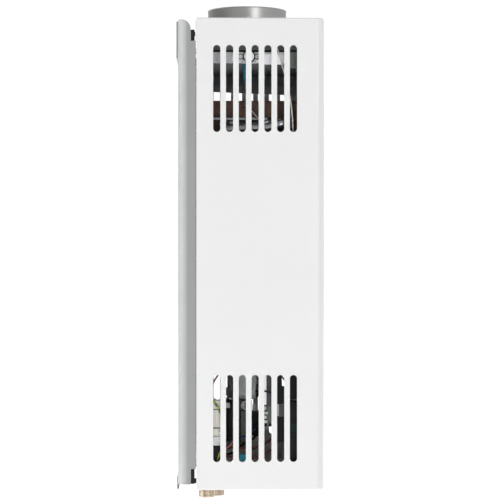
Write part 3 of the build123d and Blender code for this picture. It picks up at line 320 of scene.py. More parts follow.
# painted light: the lip sheet's colour is darkened towards the wall and brightened towards the front, a painted shade
# and highlight for light falling in through the slots
lip_nt = M["lip"].node_tree
lip_b = lip_nt.nodes["Principled BSDF"]
lip_src = lip_b.inputs["Base Color"].links[0].from_socket
lip_sep = lip_nt.nodes.new("ShaderNodeSeparateXYZ")
lip_nt.links.new(obj_coords(lip_nt), lip_sep.inputs[0])
lip_f = remap(lip_nt, lip_sep.outputs["Y"], 1.0, 0.0, -0.104, -0.066)
lip_painted_light_mul = lip_nt.nodes.new("ShaderNodeMix")
lip_painted_light_mul.data_type = "RGBA"
lip_painted_light_mul.blend_type = "MULTIPLY"
lip_painted_light_mul.inputs[0].default_value = 1.0
lip_nt.links.new(lip_src, lip_painted_light_mul.inputs[6])
lip_nt.links.new(ramp(lip_nt, lip_f, [(0.0, (0.62, 0.63, 0.66)), (1.0, (1.0, 1.0, 1.0))]), lip_painted_light_mul.inputs[7])
lip_nt.links.new(lip_painted_light_mul.outputs[2], lip_b.inputs["Base Color"])

# painted highlight: the back plate's colour is made paler along its big bend, standing for the highlight the bend
# catches
gp_nt = M["grey"].node_tree
gp_b = gp_nt.nodes["Principled BSDF"]
gp_src = gp_b.inputs["Base Color"].links[0].from_socket
gp_sep = gp_nt.nodes.new("ShaderNodeSeparateXYZ")
gp_nt.links.new(obj_coords(gp_nt), gp_sep.inputs[0])
gp_bend_highlight_f = remap(gp_nt, gp_sep.outputs["Y"], 0.0, 1.0, -0.016, 0.0)
gp_bend_highlight_mul = gp_nt.nodes.new("ShaderNodeMix")
gp_bend_highlight_mul.data_type = "RGBA"
gp_bend_highlight_mul.blend_type = "MULTIPLY"
gp_bend_highlight_mul.inputs[0].default_value = 1.0
gp_nt.links.new(gp_src, gp_bend_highlight_mul.inputs[6])
gp_nt.links.new(ramp(gp_nt, gp_bend_highlight_f, [(0.0, (0.765, 0.765, 0.765)), (0.16, (0.87, 0.87, 0.87)), (0.28, (0.985, 0.985, 0.985)), (0.5, (1.0, 1.0, 1.0)), (0.72, (0.92, 0.92, 0.92)), (1.0, (0.86, 0.86, 0.86))]), gp_bend_highlight_mul.inputs[7])
gp_nt.links.new(gp_bend_highlight_mul.outputs[2], gp_b.inputs["Base Color"])


def dress(node, mat):
    """Gives a CAD node its finish; the mesh itself stays as packed."""
    o = N[node]
    if len(o.data.materials) == 0:
        o.data.materials.append(mat)
    for i in range(len(o.data.materials)):
        o.data.materials[i] = mat
    return o


def soften(node, width, segs=2, angle=32):
    """A small render-time edge break."""
    b = N[node].modifiers.new("edge_break", "BEVEL")
    b.width = width
    b.segments = segs
    b.limit_method = "ANGLE"
    b.angle_limit = math.radians(angle)
    b.use_clamp_overlap = True
    b.harden_normals = False


FINISH = {
    "front_cover": "white", "back_plate": "grey", "standoff_blocks": "black", "cover_screws": "zinc", "flue_collar": "flue",
    "collar_rivets": "zinc", "draught_hood": "hood", "thermostat_bracket": "galv", "spill_thermostat": "phenolic",
    "combustion_chamber": "hot_copper", "exchanger_end_plates": "hot_copper", "exchanger_fins": "hot_copper", "exchanger_tubes": "tinned",
    "water_coil": "tinned", "hot_pipe": "tinned", "mounting_brackets": "galv", "burner_frame": "galv_dark", "burner_bars": "stainless",
    "gas_manifold": "casting_light", "burner_injectors": "brass", "electrode_plate": "stainless", "electrode_ceramics": "ceramic",
    "electrode_rods": "heatwire", "air_trough": "trough", "connection_bracket": "galv", "hot_outlet_fitting": "brass",
    "cold_inlet_fitting": "brass", "gas_inlet_fitting": "brass", "inlet_strainer": "stainless", "water_valve_body": "brass_cast",
    "valve_diaphragm": "rubber", "water_valve_cover": "brass_cast", "valve_screws": "zinc", "push_rod": "stainless",
    "micro_switch": "black", "switch_lever": "stainless", "drain_plug": "brass", "gas_valve_body": "casting", "pressure_screw": "zinc",
    "main_solenoid": "black", "modulating_coil": "black", "gas_pipe": "steel_pipe", "union_nuts": "alu", "controller_box": "offwhite",
    "connector_block": "black", "ignition_transformer": "black", "battery_box": "black", "battery_lid": "black", "hinge_pins": "zinc",
    "battery_cells": "cells", "panel_bezel": "black_gloss", "panel_board": "board",
    "power_button": "silver_button", "plus_button": "silver_button", "minus_button": "silver_button", "window_frame": "stainless",
}
for n_, m_ in FINISH.items():
    dress(n_, M[m_])

# ------------------------------------------------------------- mesh helpers --


def mesh_obj(name, verts, faces, mats, body=CASE, smooth=False, replaces=None, angle=35, fmat=None):
    me_ = bpy.data.meshes.new(name)
    me_.from_pydata([tuple(v) for v in verts], [], faces)
    me_.validate()
    for m in (mats if isinstance(mats, (list, tuple)) else [mats]):
        me_.materials.append(m)
    if fmat:
        me_.polygons.foreach_set("material_index", fmat)
    b_ = bmesh.new()
    b_.from_mesh(me_)
    bmesh.ops.remove_doubles(b_, verts=b_.verts, dist=1e-7)
    bmesh.ops.recalc_face_normals(b_, faces=b_.faces)
    if smooth:
        for f in b_.faces:
            f.smooth = True
        for e in b_.edges:
            if len(e.link_faces) == 2 and e.calc_face_angle(0) > math.radians(angle):
                e.smooth = False
    b_.to_mesh(me_)
    b_.free()
    me_.update()
    o = bpy.data.objects.new(name, me_)
    SC.collection.objects.link(o)
    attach(o, body)
    if replaces:
        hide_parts(replaces)
    return o


def frame_at(origin, axis):
    """Matrix whose local +Z runs along axis; local X stays as level as it can."""
    z = Vector(axis).normalized()
    x = Vector((0, 0, 1)).cross(z)
    if x.length < 1e-6:
        x = Vector((1, 0, 0))
    x.normalize()
    y = z.cross(x)
    m = Matrix((x, y, z)).transposed().to_4x4()
    m.translation = Vector(origin)
    return m


def lathe(name, origin, axis, profile, mats, body=CASE, n=64, replaces=None, wobble=None, fm=None, angle=35):
    """Spins (radius, along) pairs in mm round the axis through origin; a closed loop of pairs makes a ring."""
    mt = frame_at(origin, axis)
    verts, faces, fmat = [], [], []
    m = len(profile)
    closed = profile[0] == profile[-1]
    if closed:
        m -= 1
    rings = []
    for j in range(m):
        r, h = profile[j]
        if r < 1e-9:
            rings.append([len(verts)] * n)
            verts.append(mt @ Vector((0, 0, h / 1000)))
            continue
        ids = []
        for i in range(n):
            a = 2 * math.pi * i / n
            rr = r + (wobble(j, a) if wobble else 0.0)
            ids.append(len(verts))
            verts.append(mt @ Vector((rr * math.cos(a) / 1000, rr * math.sin(a) / 1000, h / 1000)))
        rings.append(ids)
    for j in range(m if closed else m - 1):
        a_, b_ = rings[j], rings[(j + 1) % m]
        for i in range(n):
            k = (i + 1) % n
            f = [a_[i], a_[k], b_[k], b_[i]]
            g = []
            for v in f:
                if v not in g:
                    g.append(v)
            if len(g) >= 3:
                faces.append(g)
                fmat.append(fm[j] if fm else 0)
    return mesh_obj(name, verts, faces, mats, body, True, replaces, angle, fmat)


def prism(name, pts, origin, axis, h, mats, body=CASE, bevel=0.0, replaces=None, up=None, segs=2):
    """Extrudes a 2-D outline (mm) from origin along axis by h mm, with broken edges."""
    mt = frame_at(origin, axis)
    n = len(pts)
    verts = [mt @ Vector((x / 1000, y / 1000, 0)) for x, y in pts] + [mt @ Vector((x / 1000, y / 1000, h / 1000)) for x, y in pts]
    faces = [list(range(n))[::-1], list(range(n, 2 * n))] + [[i, (i + 1) % n, n + (i + 1) % n, n + i] for i in range(n)]
    o = mesh_obj(name, verts, faces, mats, body, False, replaces)
    if bevel:
        bv = o.modifiers.new("edges", "BEVEL")
        bv.width = bevel / 1000
        bv.segments = segs
        bv.limit_method = "ANGLE"
        bv.angle_limit = math.radians(30)
    return o


def block(name, x0, x1, d0, d1, z0, z1, mats, body=CASE, bevel=0.4, segs=2):
    pts = [(x0, d0), (x1, d0), (x1, d1), (x0, d1)]
    verts = [P(x, d, z0) for x, d in pts] + [P(x, d, z1) for x, d in pts]
    faces = [[3, 2, 1, 0], [4, 5, 6, 7]] + [[i, (i + 1) % 4, 4 + (i + 1) % 4, 4 + i] for i in range(4)]
    o = mesh_obj(name, verts, faces, mats, body, False)
    if bevel:
        bv = o.modifiers.new("edges", "BEVEL")
        bv.width = bevel / 1000
        bv.segments = segs
    return o


def wire(name, pts, r, mat, body=CASE, order=3):
    """A lead on one smooth spline through its route (mm), with capped ends."""
    cu = bpy.data.curves.new(name, "CURVE")
    cu.dimensions = "3D"
    cu.bevel_depth = r / 1000
    cu.bevel_resolution = 5
    cu.use_fill_caps = True
    cu.resolution_u = 10
    sp = cu.splines.new("NURBS")
    sp.points.add(len(pts) - 1)
    for q, p in zip(sp.points, pts):
        v = P(*p)
        q.co = (v.x, v.y, v.z, 1)
    sp.order_u = order
    sp.use_endpoint_u = True
    cu.materials.append(mat)
    o = bpy.data.objects.new(name, cu)
    SC.collection.objects.link(o)
    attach(o, body)
    return o


def rounded(w, h, r, k=6):
    pts = []
    for cx_, cy_, a0 in ((w / 2 - r, h / 2 - r, 0), (-w / 2 + r, h / 2 - r, 90), (-w / 2 + r, -h / 2 + r, 180), (w / 2 - r, -h / 2 + r, 270)):
        for i in range(k + 1):
            a = math.radians(a0 + 90 * i / k)
            pts.append((cx_ + r * math.cos(a), cy_ + r * math.sin(a)))
    return pts


def hexagon(af):
    r = af / math.sqrt(3)
    return [(r * math.cos(math.radians(60 * k)), r * math.sin(math.radians(60 * k))) for k in range(6)]


# more finishes -----------------------------------------------------------------


def insulation(name, col, stripe=None, pitch=9.0):
    m, nt, b = new_mat(name)
    v = obj_coords(nt)
    base = mixc(nt, remap(nt, noise(nt, v, 180.0, 3.0), 0.0, 1.0), scale_c(col, 0.85), scale_c(col, 1.12))
    if stripe:
        w = nt.nodes.new("ShaderNodeTexWave")
        w.wave_type = "BANDS"
        w.bands_direction = "DIAGONAL"
        w.inputs["Scale"].default_value = 52.0
        w.inputs["Distortion"].default_value = 0.4
        nt.links.new(v, w.inputs["Vector"])
        base = mixc(nt, remap(nt, w.outputs["Fac"], 0.0, 1.0, 0.58, 0.62), base, stripe)
    nt.links.new(base, b.inputs["Base Color"])
    nt.links.new(remap(nt, noise(nt, v, 260.0, 2.0), 0.26, 0.42), b.inputs["Roughness"])
    b.inputs["Specular IOR Level"].default_value = 0.5
    bump(nt, b, noise(nt, v, 1500.0, 2.0), 0.10, 0.0001)
    return m


M["teal"] = insulation("teal_lead", (0.004, 0.125, 0.165))
M["w_earth"] = insulation("earth_lead", (0.05, 0.13, 0.02), (0.32, 0.36, 0.03))
M["w_blue"] = insulation("blue_lead", (0.015, 0.03, 0.16))
M["w_red"] = insulation("red_lead", (0.30, 0.015, 0.012))
M["w_maroon"] = insulation("maroon_lead", (0.13, 0.02, 0.03))
M["w_salmon"] = insulation("salmon_lead", (0.62, 0.20, 0.12))
M["w_mauve"] = insulation("mauve_lead", (0.30, 0.16, 0.30))
M["w_grey"] = insulation("grey_lead", (0.42, 0.42, 0.41))
M["w_white"] = insulation("silicone_lead", (0.66, 0.65, 0.62))
M["w_black"] = insulation("black_lead", (0.015, 0.015, 0.016))


lens_m, lens_nt, lens_b = new_mat("smoked_display_lens")
lv = obj_coords(lens_nt)
lens_nt.links.new(mixc(lens_nt, remap(lens_nt, noise(lens_nt, lv, 30.0), 0.0, 1.0), (0.006, 0.007, 0.009), (0.010, 0.011, 0.014)), lens_b.inputs["Base Color"])
lens_nt.links.new(remap(lens_nt, noise(lens_nt, lv, 90.0), 0.05, 0.10), lens_b.inputs["Roughness"])
lens_b.inputs["Coat Weight"].default_value = 1.0
lens_b.inputs["Coat Roughness"].default_value = 0.03
M["lens"] = lens_m
dress("display_lens", M["lens"])

glass_m, glass_nt, glass_b = new_mat("flame_window_glass")
gv_ = obj_coords(glass_nt)
glass_nt.links.new(mixc(glass_nt, remap(glass_nt, noise(glass_nt, gv_, 60.0), 0.0, 1.0), (0.045, 0.035, 0.022), (0.085, 0.065, 0.04)), glass_b.inputs["Base Color"])
glass_nt.links.new(remap(glass_nt, noise(glass_nt, gv_, 160.0, 4.0), 0.04, 0.14), glass_b.inputs["Roughness"])
glass_b.inputs["Transmission Weight"].default_value = 0.55
glass_b.inputs["IOR"].default_value = 1.47
glass_b.inputs["Coat Weight"].default_value = 0.6
glass_b.inputs["Coat Roughness"].default_value = 0.02
M["glass"] = glass_m
dress("window_glass", M["glass"])

led_m, led_nt, led_b = new_mat("lit_segments")
ln = remap(led_nt, noise(led_nt, obj_coords(led_nt), 500.0, 2.0), 0.0, 1.0)
led_nt.links.new(mixc(led_nt, ln, (0.55, 0.80, 0.95), (0.75, 0.95, 1.0)), led_b.inputs["Base Color"])
led_nt.links.new(mixc(led_nt, ln, (0.55, 0.85, 1.0), (0.70, 0.92, 1.0)), led_b.inputs["Emission Color"])
led_b.inputs["Emission Strength"].default_value = 1.1
led_b.inputs["Roughness"].default_value = 0.4
M["led"] = led_m
M["print_grey"] = surface("panel_print", (0.50, 0.51, 0.52), 0.45, 0.0, 0.05, 300, 0.05, 300, 0.05, 1500, 0.00005)
M["mark"] = surface("button_mark", (0.03, 0.03, 0.033), 0.5, 0.0, 0.10, 300, 0.05, 300, 0.05, 1500, 0.00005)

# ------------------------------------------------------------------ fittings --
PITCH = 1.814


def threaded_fitting(name, x, d, od, z_low, bore, af, z_top, node):
    """Turned brass spigot with a real helical thread, a shoulder, a hexagon and a plain neck."""
    R = od / 2
    rows, kind = [], []

    def add(r, h, k="plain"):
        rows.append((r, h))
        kind.append(k)

    add(bore, z_low + 0.5)
    add(bore + 0.5, z_low)
    add(R - 0.75, z_low)
    add(R - 0.2, z_low + 0.25)
    h = z_low + 0.9
    while h < 0.75:
        add(R, h, "thread")
        h += 0.2
    add(R - 0.7, 0.8)
    add(R - 0.1, 1.0)
    add(R + 2.4, 1.0)
    add(R + 2.6, 1.25)
    add(R + 2.6, 3.7)
    add(R + 2.4, 3.95)
    add(R, 3.95)
    add(R, 5.25)
    add(af / 2 + 0.05, 5.25, "hexcap")
    add(af / 2, 6.2, "hex")
    add(af / 2, 11.0, "hex")
    add(af / 2 + 0.05, 12.0, "hexcap")
    add(R - 1, 12.0)
    add(R - 1, z_top - 0.5)
    add(R - 1.5, z_top)
    add(bore + 0.4, z_top)
    add(bore, z_top - 0.4)
    add(bore, (z_top + z_low) / 2)
    rows.append(rows[0])
    last = z_low + 0.9

    def wob(j, a):
        k = kind[j]
        if k == "thread":
            hh = rows[j][1]
            p = (hh / PITCH - a / (2 * math.pi)) % 1.0
            t = 1 - abs(2 * p - 1)
            t = min(1.0, max(0.0, t * 4.2 - 0.2))
            return -0.4 * (1 - t) * min(1.0, max(0.0, (hh - last - 0.5) / 1.2))
        if k == "hex":
            q = (a + math.pi / 6) % (math.pi / 3) - math.pi / 6
            q = (a % (math.pi / 3)) - math.pi / 6
            return af / 2 / math.cos(q) - af / 2
        return 0.0

    return lathe(name, P(x, d, 0), (0, 0, 1), rows, M["brass"], n=72, replaces=node, wobble=wob, angle=28)


threaded_fitting("hot_outlet_turned", -120, 39.5, 21.3, -16.4, 7.2, 27, 30, "hot_outlet_fitting")
threaded_fitting("cold_inlet_turned", 120, 39.5, 21.3, -16.4, 7.5, 25.4, 15, "cold_inlet_fitting")
threaded_fitting("gas_inlet_turned", 0, 50.1, 26.7, -30.5, 9, 34, 40, "gas_inlet_fitting")

# ------------------------------------------------------------- flue collar --
lathe("flue_rolled_rim", P(0, 94.8, 0), (0, 0, 1),
      [(53.75 + 0.88 * math.cos(math.radians(t)), 640.6 + 0.88 * math.sin(math.radians(t))) for t in range(0, 361, 24)][:-1] +
      [(53.75 + 0.88, 640.6)], M["flue"], n=144, angle=60)
a_ = math.radians(38)
o_ = Vector((0, 0, 0))
prism("flue_lock_seam", rounded(6.5, 29.5, 0.6), P(53.95 * math.sin(a_), 94.8 - 53.95 * math.cos(a_), 624.6), (math.sin(a_), math.cos(a_), 0), 0.55, M["flue"], bevel=0.2)
for k, h_ in enumerate((612.2, 614.6)):
    lathe("flue_swage_%d" % (k + 1), P(0, 94.8, 0), (0, 0, 1),
          [(54.0, h_ - 0.55), (54.42, h_ - 0.3), (54.5, h_), (54.42, h_ + 0.3), (54.0, h_ + 0.55)], M["flue"], n=144, angle=60)

# ------------------------------------------------------------ draught hood --


def bead_ring(name, x0, x1, d0, d1, r, z, rad, mat, m=14):
    """A round cord laid round a rounded rectangle at height z."""
    pts = [(x + (x0 + x1) / 2, y + (d0 + d1) / 2) for x, y in rounded(x1 - x0, d1 - d0, r, 8)]
    n = len(pts)
    verts, faces = [], []
    for i in range(n):
        a, b = Vector(pts[i - 1]), Vector(pts[(i + 1) % n])
        t = (b - a).normalized()
        nx, nd = t.y, -t.x
        for k in range(m):
            q = 2 * math.pi * k / m
            verts.append(P(pts[i][0] + nx * rad * math.cos(q), pts[i][1] + nd * rad * math.cos(q), z + rad * math.sin(q)))
    for i in range(n):
        j = (i + 1) % n
        for k in range(m):
            l = (k + 1) % m
            faces.append([i * m + k, j * m + k, j * m + l, i * m + l])
    return mesh_obj(name, verts, faces, mat, smooth=True, angle=60)


# painted shade: a black cord at the hood's roof-to-skirt joint stands for the shadow of the fold above the lip
bead_ring("hood_seal_painted_shade", -162.0, 162.0, 38.0, 176.0, 6.0, 568.1, 1.15, M["rubber"])
prism("hood_far_drip_strip", [(-40, 552.6), (-174, 552.6), (-174, 538.5), (-40, 544.0)], P(161.15, 0, 0), (1, 0, 0), 1.1, M["galv_dark"], bevel=0.2)

# spill thermostat: phenolic body, bright cap with a turned groove, two tab terminals; the body's dark rim round the cap
# is widened as a painted shade for the shadow gap round the disc
TX = P(0, 94.5, 561.0)


def axx(x):
    return Vector((x / 1000, TX.y, TX.z))


lathe("thermostat_body_shade_rim", axx(-163.02), (-1, 0, 0), [(0, 0), (8.4, 0), (8.4, 1.2), (8.1, 1.5), (7.2, 1.6), (6.95, 2.2), (0, 2.25)], M["phenolic"], n=48, replaces="spill_thermostat")
lathe("thermostat_cap", axx(-163.02), (-1, 0, 0), [(0, 2.2), (6.55, 2.2), (6.6, 2.4), (6.6, 4.6), (6.2, 5.05), (5.3, 5.15), (5.05, 4.5), (4.75, 4.5), (4.5, 5.15), (3.7, 5.2), (3.55, 5.35),
      (3.5, 6.15), (3.2, 6.38), (0, 6.38)], M["cap_bright"], n=48)
for k, (da, db) in enumerate(((86.6, 90.6), (92.6, 96.6))):
    pts = [(da, 549.6), (db, 549.6), (db, 554.2), (db - 0.8, 555.6), (da + 0.8, 555.6), (da, 554.2)]
    prism("thermostat_tab_%d" % (k + 1), pts, P(-166.6, 0, 0), (-1, 0, 0), 0.8, M["zinc"], bevel=0.12)
    block("thermostat_receptacle_%d" % (k + 1), -168.35, -165.95, da - 0.7, db + 0.7, 545.2, 551.4, M["w_white"] if k else M["teal"], bevel=0.5)
for s in (-1, 1):
    d_ = 94.5 + s * 10.8
    lathe("thermostat_washer_%d" % (1 if s < 0 else 2), P(-163.0, d_, 561.0), (-1, 0, 0), [(2.75, 0), (3.7, 0), (3.7, 0.3), (2.75, 0.4), (2.75, 0)], M["phenolic"], n=36)

# condensate rail along the near side of the exchanger, on three tabs
wire("exchanger_rail", [(-128, 46, 482.5), (-128, 62, 482.5), (-128, 84, 482.5), (-128, 106, 482.5), (-128, 119, 482.5)], 2.9, M["tinned"])
for k, d_ in enumerate((52, 86, 114)):
    block("exchanger_rail_tab_%d" % (k + 1), -127.5, -110.9, d_ - 3.0, d_ + 3.0, 481.9, 483.1, M["tinned"], bevel=0.25)

# lip of the hood's two long sides, its front part brightened by the painted highlight in its sheet colour, and the two
# teal leads
for sx, nm in ((-1, "near"), (1, "far")):
    prism("hood_lip_" + nm, [(43, 552.4), (146, 552.4), (146, 566.7), (43, 566.7)] if sx < 0 else [(-171, 552.4), (-43, 552.4), (-43, 566.7), (-171, 566.7)], P(sx * 161.98, 0, 0), (sx, 0, 0), 0.3, M["lip"])
LEAD1 = [(-167.8, 88.6, 549.3), (-168.8, 88.2, 540), (-168.6, 88.6, 531), (-167.0, 92.6, 521), (-166.5, 92.6, 504), (-166.4, 92.2, 478), (-166.2, 90, 456), (-165.6, 76, 430), (-164.5, 57, 410), (-160, 36, 392), (-154, 21, 362), (-154, 17, 300), (-151, 19, 150), (-150, 31, 130), (-149, 40, 124), (-149, 43, 113.4)]
LEAD2 = [(-167.8, 94.6, 549.2), (-169.4, 94.6, 538), (-169.6, 95.2, 522), (-169.4, 95.5, 500), (-168.4, 95.3, 470), (-167.8, 93, 446), (-167.4, 78, 418), (-167, 58, 396), (-164, 38, 376), (-160, 22, 345), (-160, 17.5, 300), (-156.5, 20, 152), (-154.5, 33, 134), (-153, 43, 127), (-153, 47, 113.4)]
tl_ = wire("thermostat_lead_a", LEAD1, 1.45, M["teal"])
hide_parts("thermostat_lead")
wire("thermostat_lead_b", LEAD2, 1.15, M["teal"])

# light edge trims where the cover meets the stand-off blocks
block("edge_trim_top", -177.0, -175.6, 24.9, 26.25, 580.6, 606.0, M["white"], bevel=0.2)
block("edge_trim_top_far", 175.6, 177.0, 24.9, 26.25, 580.6, 606.0, M["white"], bevel=0.2)

# painted shade: black pads at the front end of the hood skirt keep that end dark where it lies in shade
block("hood_skirt_shade_pad_near", -162.75, -162.02, 146.6, 173.0, 552.4, 566.8, M["rubber"], bevel=0.25)
block("hood_skirt_shade_pad_far", 162.02, 162.75, 146.6, 173.0, 553.0, 566.8, M["rubber"], bevel=0.25)

# ---------------------------------------------------------- wires and plugs --
ROUTES = {
    "earth": (1.3, "w_earth", [(-158, 5.0, 128), (-166, 26, 127), (-173, 46, 119), (-173.2, 58.5, 100), (-173.4, 61.8, 78), (-172.8, 60.6, 58), (-171.2, 54, 41), (-168, 53, 29), (-150, 60, 25), (-128, 70, 25.5), (-106, 81, 36), (-85.0, 86, 54)]),
    "blue": (1.2, "w_blue", [(-150, 60.3, 46), (-148.5, 64.5, 52), (-146, 69.5, 58.5), (-142, 78, 62), (-132, 90, 64.5), (-108, 104, 71), (-84.6, 106, 75)]),
    "red": (1.3, "w_maroon", [(-142, 60.3, 40.5), (-142, 74, 39), (-138, 100, 35), (-132, 124, 44), (-129, 136, 62), (-128, 139.5, 79), (-128, 145.8, 82)]),
    "maroon": (1.3, "w_maroon", [(-136, 60.3, 49), (-136, 74, 51), (-131, 98, 48), (-125, 120, 54), (-123, 134, 72), (-124, 139.5, 91), (-124, 145.8, 94)]),
    "salmon": (1.0, "w_salmon", [(-160, 60.3, 49), (-160, 68, 53), (-150, 76, 62), (-138, 81, 74), (-121.7, 76.5, 82)]),
    "sensor": (0.9, "w_white", [(-105.9, 88, 500), (-118, 92, 501), (-131, 100, 492), (-137, 111, 477.6)]),
    "fuse": (0.9, "w_white", [(-150, 122, 572.4), (-160, 126, 580), (-168.4, 132, 570), (-169, 140, 540), (-167.5, 149, 505), (-168, 152, 463), (-165, 155, 380), (-168, 153, 250), (-165, 156, 160), (-151, 162, 132), (-150.0, 164, 116.3)]),
    "spark": (1.6, "w_white", [(-136, 164, 116.3), (-136, 167, 142), (-110, 181, 182), (-40, 185.6, 226), (16, 185.2, 272), (40, 184.6, 298), (46, 183, 306), (46, 176.2, 306.4)]),
    "probe": (1.3, "w_grey", [(-142, 182.2, 100), (-142, 186.6, 102), (-141, 186.6, 122), (-136, 184.8, 160), (-100, 184.6, 215), (-30, 184.4, 284), (30, 184.4, 322), (60, 184.4, 320), (64, 183, 306.5), (64, 176.2, 306)]),
}
first = True
for nm, (r_, mm, pts) in ROUTES.items():
    w_ = wire("lead_" + nm, pts, r_, M[mm])
    if first:
        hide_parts("wiring_loom")
        first = False
wire("lead_mauve", [(-158, 46, 116.2), (-160, 46.5, 128), (-161, 48.5, 140), (-158, 62, 156), (-150, 84, 170), (-140, 120, 162), (-140, 148, 134), (-143, 152, 116.4)], 1.2, M["w_mauve"])
wire("lead_black", [(-136, 61, 40.5), (-128, 72, 41), (-110, 80, 45), (-101, 90, 51.5), (-98, 101, 57.5), (-93, 108, 64), (-84.4, 109, 67)], 1.7, M["w_black"])

# plugs in the connector block, and crimp sleeves where leads meet their parts
for k, (x_, z_, mm) in enumerate(((-150, 46.5, "w_white"), (-142, 40.5, "w_red"), (-136, 48.5, "w_maroon"), (-160, 49.0, "w_white"), (-136, 40.5, "black"))):
    block("loom_plug_%d" % (k + 1), x_ - 2.3, x_ + 2.3, 59.4, 64.6, z_ - 2.3, z_ + 2.3, M[mm], bevel=0.35)
SLEEVES = (("earth_ring_sleeve", (-158, 5.2, 128), (-163.5, 18, 127.6), 2.0, "w_red"), ("coil_plug_sleeve", (-90, 105.7, 74.6), (-84.7, 106, 75), 2.1, "black"),
           ("igniter_sleeve", (-128, 141.5, 80.6), (-128, 145.9, 82), 2.0, "black"), ("spark_boot", (-136, 164, 116.4), (-136, 164.6, 124), 2.7, "rubber"),
           ("electrode_boot", (46, 176.3, 306.4), (46, 181.2, 306.3), 2.8, "rubber"), ("probe_boot", (64, 176.3, 306), (64, 181.2, 306.2), 2.6, "rubber"),
           ("solenoid_sleeve", (-126, 77.4, 80.4), (-121.8, 76.6, 82), 1.9, "w_white"))
for nm, a, b, r_, mm in SLEEVES:
    pa, pb = P(*a), P(*b)
    L_ = (pb - pa).length * 1000
    lathe(nm, pa, (pb - pa), [(0.4, 0), (r_ - 0.25, 0), (r_, 0.3), (r_ * 0.96, L_ * 0.5), (r_, L_ - 0.3), (r_ - 0.25, L_), (0.4, L_), (0.4, 0)], M[mm], n=24)
block("inline_connector", -144, -136, 80.2, 92.5, 33.8, 41.0, M["teal_block"], bevel=0.5)
block("inline_connector_latch", -142.2, -137.8, 83, 89, 40.9, 42.1, M["teal_block"], bevel=0.3)
for k, (x_, d_, z_, w_) in enumerate(((-139.0, 96, 35.6, 2.2), (-131, 101, 48.3, 2.2))):
    bead_ring("cable_tie_%d" % (k + 1), x_ - w_, x_ + w_, d_ - w_, d_ + w_, 1.6, z_, 0.7, M["w_black"], 8)

# ------------------------------------------------- controller and its cheek --
prism("connector_cheek", [(28.5, 56.5), (61, 56.5), (61, 66.4), (59.4, 67.9), (28.5, 67.9)], P(-167.7, 0, 0), (-1, 0, 0), 0.8, M["galv"], bevel=0.15)
prism("controller_lid_lower", [(p[0] + 44.5, p[1] + 91.6) for p in rounded(31.6, 22.8, 1.2)], P(-170.55, 0, 0), (-1, 0, 0), 1.0, M["offwhite"], bevel=0.35)
prism("controller_lid_upper", [(p[0] + 44.5, p[1] + 109.6) for p in rounded(31.6, 11.2, 1.2)], P(-170.55, 0, 0), (-1, 0, 0), 1.0, M["offwhite"], bevel=0.35)
prism("controller_lid_foot", [(p[0] + 44.5, p[1] + 74.0) for p in rounded(31.6, 9.4, 1.2)], P(-170.55, 0, 0), (-1, 0, 0), 1.0, M["offwhite"], bevel=0.35)
# painted shade: black strips in the lid seams stand for the shadow in the gaps
for k, z_ in enumerate((79.5, 103.5)):
    block("controller_seam_%d" % (k + 1), -170.85, -170.5, 29.2, 59.8, z_ - 0.55, z_ + 0.55, M["rubber"], bevel=0.0)
block("controller_rib", -172.0, -171.4, 51.4, 52.6, 82.0, 101.5, M["offwhite"], bevel=0.2)
block("controller_rib_foot", -172.0, -171.4, 36.5, 52.6, 82.0, 83.2, M["offwhite"], bevel=0.2)
for k, (d_, z_) in enumerate(((32, 107), (57, 107), (32, 74), (57, 74))):
    lathe("controller_screw_%d" % (k + 1), P(-171.4, d_, z_), (-1, 0, 0), [(0, 0.9), (0.5, 0.35), (0.6, 0.65), (1.5, 0.6), (1.9, 0.35), (1.95, 0)], M["zinc"], n=28)

# ------------------------------------------------------ solenoid and valve --
lathe("solenoid_gland", P(-112, 70, 112.3), (0, 0, 1), [(4.4, 0), (4.4, 1.3), (3.9, 1.7), (2.2, 1.75), (2.2, 0.2), (0, 0.2)], M["zinc"], n=36)
lathe("solenoid_collar", P(-112, 70, 0), (0, 0, 1), [(10.9, 100.4), (11.4, 100.8), (11.45, 102.4), (11.25, 102.8), (11.25, 103.4), (11.45, 103.8), (11.4, 105.4), (10.9, 105.8), (10.9, 100.4)], M["black"], n=72)
lathe("pressure_cap_rim", P(-87, 91, 101.5), (-1, 0, 0), [(4.2, 0), (6.0, 0), (6.0, 2.6), (5.7, 2.95), (4.6, 2.95), (4.2, 2.6), (4.2, 0)], M["cap_bright"], n=60, replaces="pressure_screw",
      wobble=lambda j, a: 0.12 * math.cos(30 * a) if j in (1, 2) else 0.0)
lathe("pressure_cap_floor", P(-87, 91, 101.5), (-1, 0, 0), [(0, 0), (4.3, 0), (4.3, 1.1), (0, 1.1)], M["rubber"], n=40)
for s in (-1, 1):
    pts = [(91 + s * 0.75, 101.5 - 3.9)] + [(91 + s * max(0.75, 4.1 * math.cos(math.radians(t))), 101.5 + 4.1 * math.sin(math.radians(t))) for t in range(-70, 71, 10)] + [(91 + s * 0.75, 101.5 + 3.9)]
    prism("pressure_cap_half_%d" % (1 if s < 0 else 2), pts if s > 0 else pts[::-1], P(-88.0, 0, 0), (-1, 0, 0), 1.2, M["cap_bright"], bevel=0.2)
for k, (d_, z_) in enumerate(((42, 100), (42, 48), (112, 48))):
    lathe("valve_case_screw_%d" % (k + 1), P(-86.9, d_, z_), (-1, 0, 0), [(0, 1.2), (1.2, 1.2), (1.3, 2.2), (2.9, 2.2), (3.3, 1.9), (3.3, 0)], M["zinc"], n=30)

